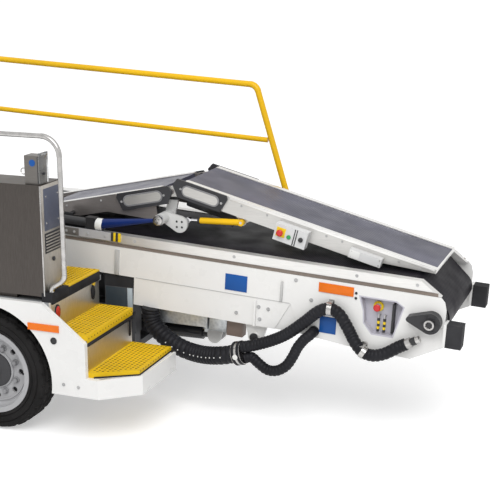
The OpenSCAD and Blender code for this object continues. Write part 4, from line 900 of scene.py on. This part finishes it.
BLACK = (0.022, 0.022, 0.024)
cover(two_coats("cast_grey", "Z", 1.275, (0.6, 0.6, 0.59), BLACK), "hinge_brackets")
cover(two_coats("carriage_zinc", "Y", 0.4285, BLACK, (0.46, 0.46, 0.47)), "ext_carriage")
bm = bmesh.new()
plate_y = -side_y - 0.012
block(bm, (0.072, plate_y - 0.004, -0.042), (0.24, plate_y, 0.004), boom, 0.0015, 0)
for k in range(3):
    screw(bm, boom @ Vector((0.1 + 0.055 * k, plate_y - 0.004, -0.02)), RIGHT, 0.006, 1)
for u in (0.3, 0.42):
    screw(bm, boom @ Vector((u, plate_y, -0.02)), RIGHT, 0.006, 1)
for k in range(4):
    u = 0.462 + 0.016 * k
    block(bm, (u, -side_y - 0.014, -0.044), (u + 0.0158, -side_y - 0.0045, 0.01), boom, 0.001,
          2 if k % 2 else 3)
heading = boom.to_3x3() @ Vector((1, 0, 0))
for sign in (-1, 1):
    lathe(bm, [(0.0345, 0), (0.0395, 0.003), (0.0395, 0.04), (0.036, 0.046)],
          facing(boom @ Vector((0.342, sign * 0.394, 0.036)), heading), 32, 4)
bracket_dark = painted("bracket_dark", (0.16, 0.15, 0.14), 0.5, 0.8)
finish_mesh("carriage_fittings", bm, [bracket_dark, bolt_steel, hazard_yellow, black_plastic, pale_plastic],
            "extension")
bm = bmesh.new()
LOBE, DRUM = (2.26, 1.142), (2.162, 1.18)
for sign in (-1, 1):
    out = sign * (ext_y + cap_t + 0.02)
    for k in range(4):
        turn = 2 * math.pi * (k + 0.5) / 4
        spot = (LOBE[0] + 0.024 * math.cos(turn), out, LOBE[1] + 0.024 * math.sin(turn))
        lathe(bm, [(0.007, 0), (0.007, 0.001), (0, 0.0015)], facing(spot, (0, sign, 0)), 14, 1)
    lathe(bm, [(0.03, -0.01), (0.03, 0.004), (0.022, 0.006), (0.0, 0.006)],
          facing((DRUM[0], sign * 0.406, DRUM[1]), (0, sign, 0)), 32, 0)
    for k in range(3):
        turn = 2 * math.pi * (k + 0.25) / 3
        spot = (DRUM[0] + 0.013 * math.cos(turn), sign * 0.412, DRUM[1] + 0.013 * math.sin(turn))
        lathe(bm, [(0.0035, 0), (0.0035, 0.001), (0, 0.0012)], facing(spot, (0, sign, 0)), 10, 1)
finish_mesh("bracket_fittings", bm, [rail_steel, black_plastic], "extension")

# Stop boxes: moulded grey housings on the front deck's side, one with a yellow plate, a red mushroom
# button, a green button and a switch, the other plain with a lighter lid.
box_grey = painted("box_grey", (0.66, 0.66, 0.66), 0.42, 0.9)
cover(box_grey, "stop_boxes")
green_knob = painted("green_knob", (0.02, 0.3, 0.08), 0.3, 0.85, 0.4)
bm = bmesh.new()
box_y = -ext_y - 0.06
block(bm, (0.716, box_y - 0.003, -0.02), (0.772, box_y, 0.036), front_deck, 0.001, 0)
lathe(bm, [(0.011, 0), (0.011, 0.012), (0.02, 0.016), (0.02, 0.026), (0.014, 0.031), (0, 0.032)],
      facing(front_deck @ Vector((0.744, box_y - 0.002, 0.008)), RIGHT), 28, 1)
lathe(bm, [(0.013, 0), (0.013, 0.005), (0.01, 0.009), (0, 0.01)],
      facing(front_deck @ Vector((0.798, box_y, -0.005)), RIGHT), 24, 2)
for s in (0.825, 0.838):
    block(bm, (s, box_y - 0.002, -0.046), (s + 0.006, box_y + 0.001, 0.054), front_deck, 0.0008, 3)
lathe(bm, [(0.014, 0), (0.014, 0.008), (0.009, 0.014), (0, 0.015)],
      facing(front_deck @ Vector((0.872, box_y, 0.004)), RIGHT), 20, 3)
block(bm, (1.168, -ext_y - 0.053, 0.003), (1.23, -ext_y - 0.048, 0.049), front_deck, 0.002, 4)
for s in (1.18, 1.35):
    for h in (0.01, 0.042):
        screw(bm, front_deck @ Vector((s, -ext_y - 0.0505, h)), RIGHT, 0.003, 5)
finish_mesh("box_buttons", bm, [hazard_yellow, red_knob, green_knob, black_plastic, pale_plastic, bolt_steel],
            "front_deck")

# Tilt cylinder: a small yellow hydraulic cylinder between bracket and deck, with a black gland nut and a
# ported head.
cover(yellow_paint, "tilt_barrel")
tilt_head, tilt_foot = Vector((2.65, -0.268, 1.178)), Vector((2.305, -0.268, 1.166))
tilt_dir = (tilt_foot - tilt_head).normalized()
tilt_l = (tilt_foot - tilt_head).length
bm = bmesh.new()
lathe(bm, [(0.0192, 0), (0.0205, 0.002), (0.0205, 0.014), (0.012, 0.018)],
      facing(tilt_head + tilt_dir * (tilt_l - 0.066 - 0.014), tilt_dir), 24)
lathe(bm, [(0.008, 0), (0.008, 0.012), (0.0, 0.013)],
      facing(tilt_head + tilt_dir * 0.06 + Vector((0, 0, -0.018)), (0, 0, -1)), 6)
finish_mesh("tilt_gland", bm, [black_plastic], "tilt_cylinder")

# Floor and light: a plain pale floor, a pale surround that is darker near the horizon so that steel reads
# as steel, and one large soft lamp above.
bm = bmesh.new()
bmesh.ops.create_grid(bm, x_segments=1, y_segments=1, size=200)
mesh = bpy.data.meshes.new("floor")
bm.to_mesh(mesh)
bm.free()
floor = bpy.data.objects.new("floor", mesh)
bpy.context.scene.collection.objects.link(floor)
floor_white, tree, shader = new_material("floor_white")
tree.links.new(ramp(tree, noise(tree, 1.5, 3), (0.84,) * 3, (0.87,) * 3), shader.inputs["Base Color"])
shader.inputs["Roughness"].default_value = 0.8


def seen_rays(tree):
    """1 for rays from the camera, off metal and through glass, which all meet the same white background."""
    rays = tree.nodes.new("ShaderNodeLightPath")
    total = rays.outputs["Is Camera Ray"]
    for name in ("Is Glossy Ray", "Is Transmission Ray"):
        add = tree.nodes.new("ShaderNodeMath")
        add.use_clamp = True
        tree.links.new(total, add.inputs[0])
        tree.links.new(rays.outputs[name], add.inputs[1])
        total = add.outputs["Value"]
    return total


lift = tree.nodes.new("ShaderNodeMath")
lift.operation = "MULTIPLY"
lift.inputs[1].default_value = 0.42
tree.links.new(seen_rays(tree), lift.inputs[0])
tree.links.new(lift.outputs["Value"], shader.inputs["Emission Strength"])
shader.inputs["Emission Color"].default_value = (1, 1, 1, 1)
mesh.materials.append(floor_white)

world = bpy.data.worlds.new("surround")
world.use_nodes = True
tree = world.node_tree
sky = tree.nodes.new("ShaderNodeTexCoord")
split = tree.nodes.new("ShaderNodeSeparateXYZ")
tree.links.new(sky.outputs["Generated"], split.inputs["Vector"])
tree.links.new(ramp(tree, split.outputs["Z"], (0.5, 0.5, 0.52), (1, 1, 1), 0.0, 0.55),
               tree.nodes["Background"].inputs["Color"])
tree.nodes["Background"].inputs["Strength"].default_value = 0.8
plain = tree.nodes.new("ShaderNodeBackground")
plain.inputs["Color"].default_value = (1, 1, 1, 1)
choice = tree.nodes.new("ShaderNodeMixShader")
tree.links.new(seen_rays(tree), choice.inputs["Fac"])
tree.links.new(tree.nodes["Background"].outputs["Background"], choice.inputs[1])
tree.links.new(plain.outputs["Background"], choice.inputs[2])
tree.links.new(choice.outputs["Shader"], tree.nodes["World Output"].inputs["Surface"])
bpy.context.scene.world = world

lamp_data = bpy.data.lights.new("soft_key", "AREA")
lamp_data.shape = "DISK"
lamp_data.size = 6
lamp_data.energy = 420
lamp = bpy.data.objects.new("soft_key", lamp_data)
bpy.context.scene.collection.objects.link(lamp)
lamp.location = (4.5, -5.5, 7)
aim = Vector((1.8, 0, 0.8)) - Vector(lamp.location)
lamp.rotation_euler = aim.to_track_quat("-Z", "Y").to_euler()
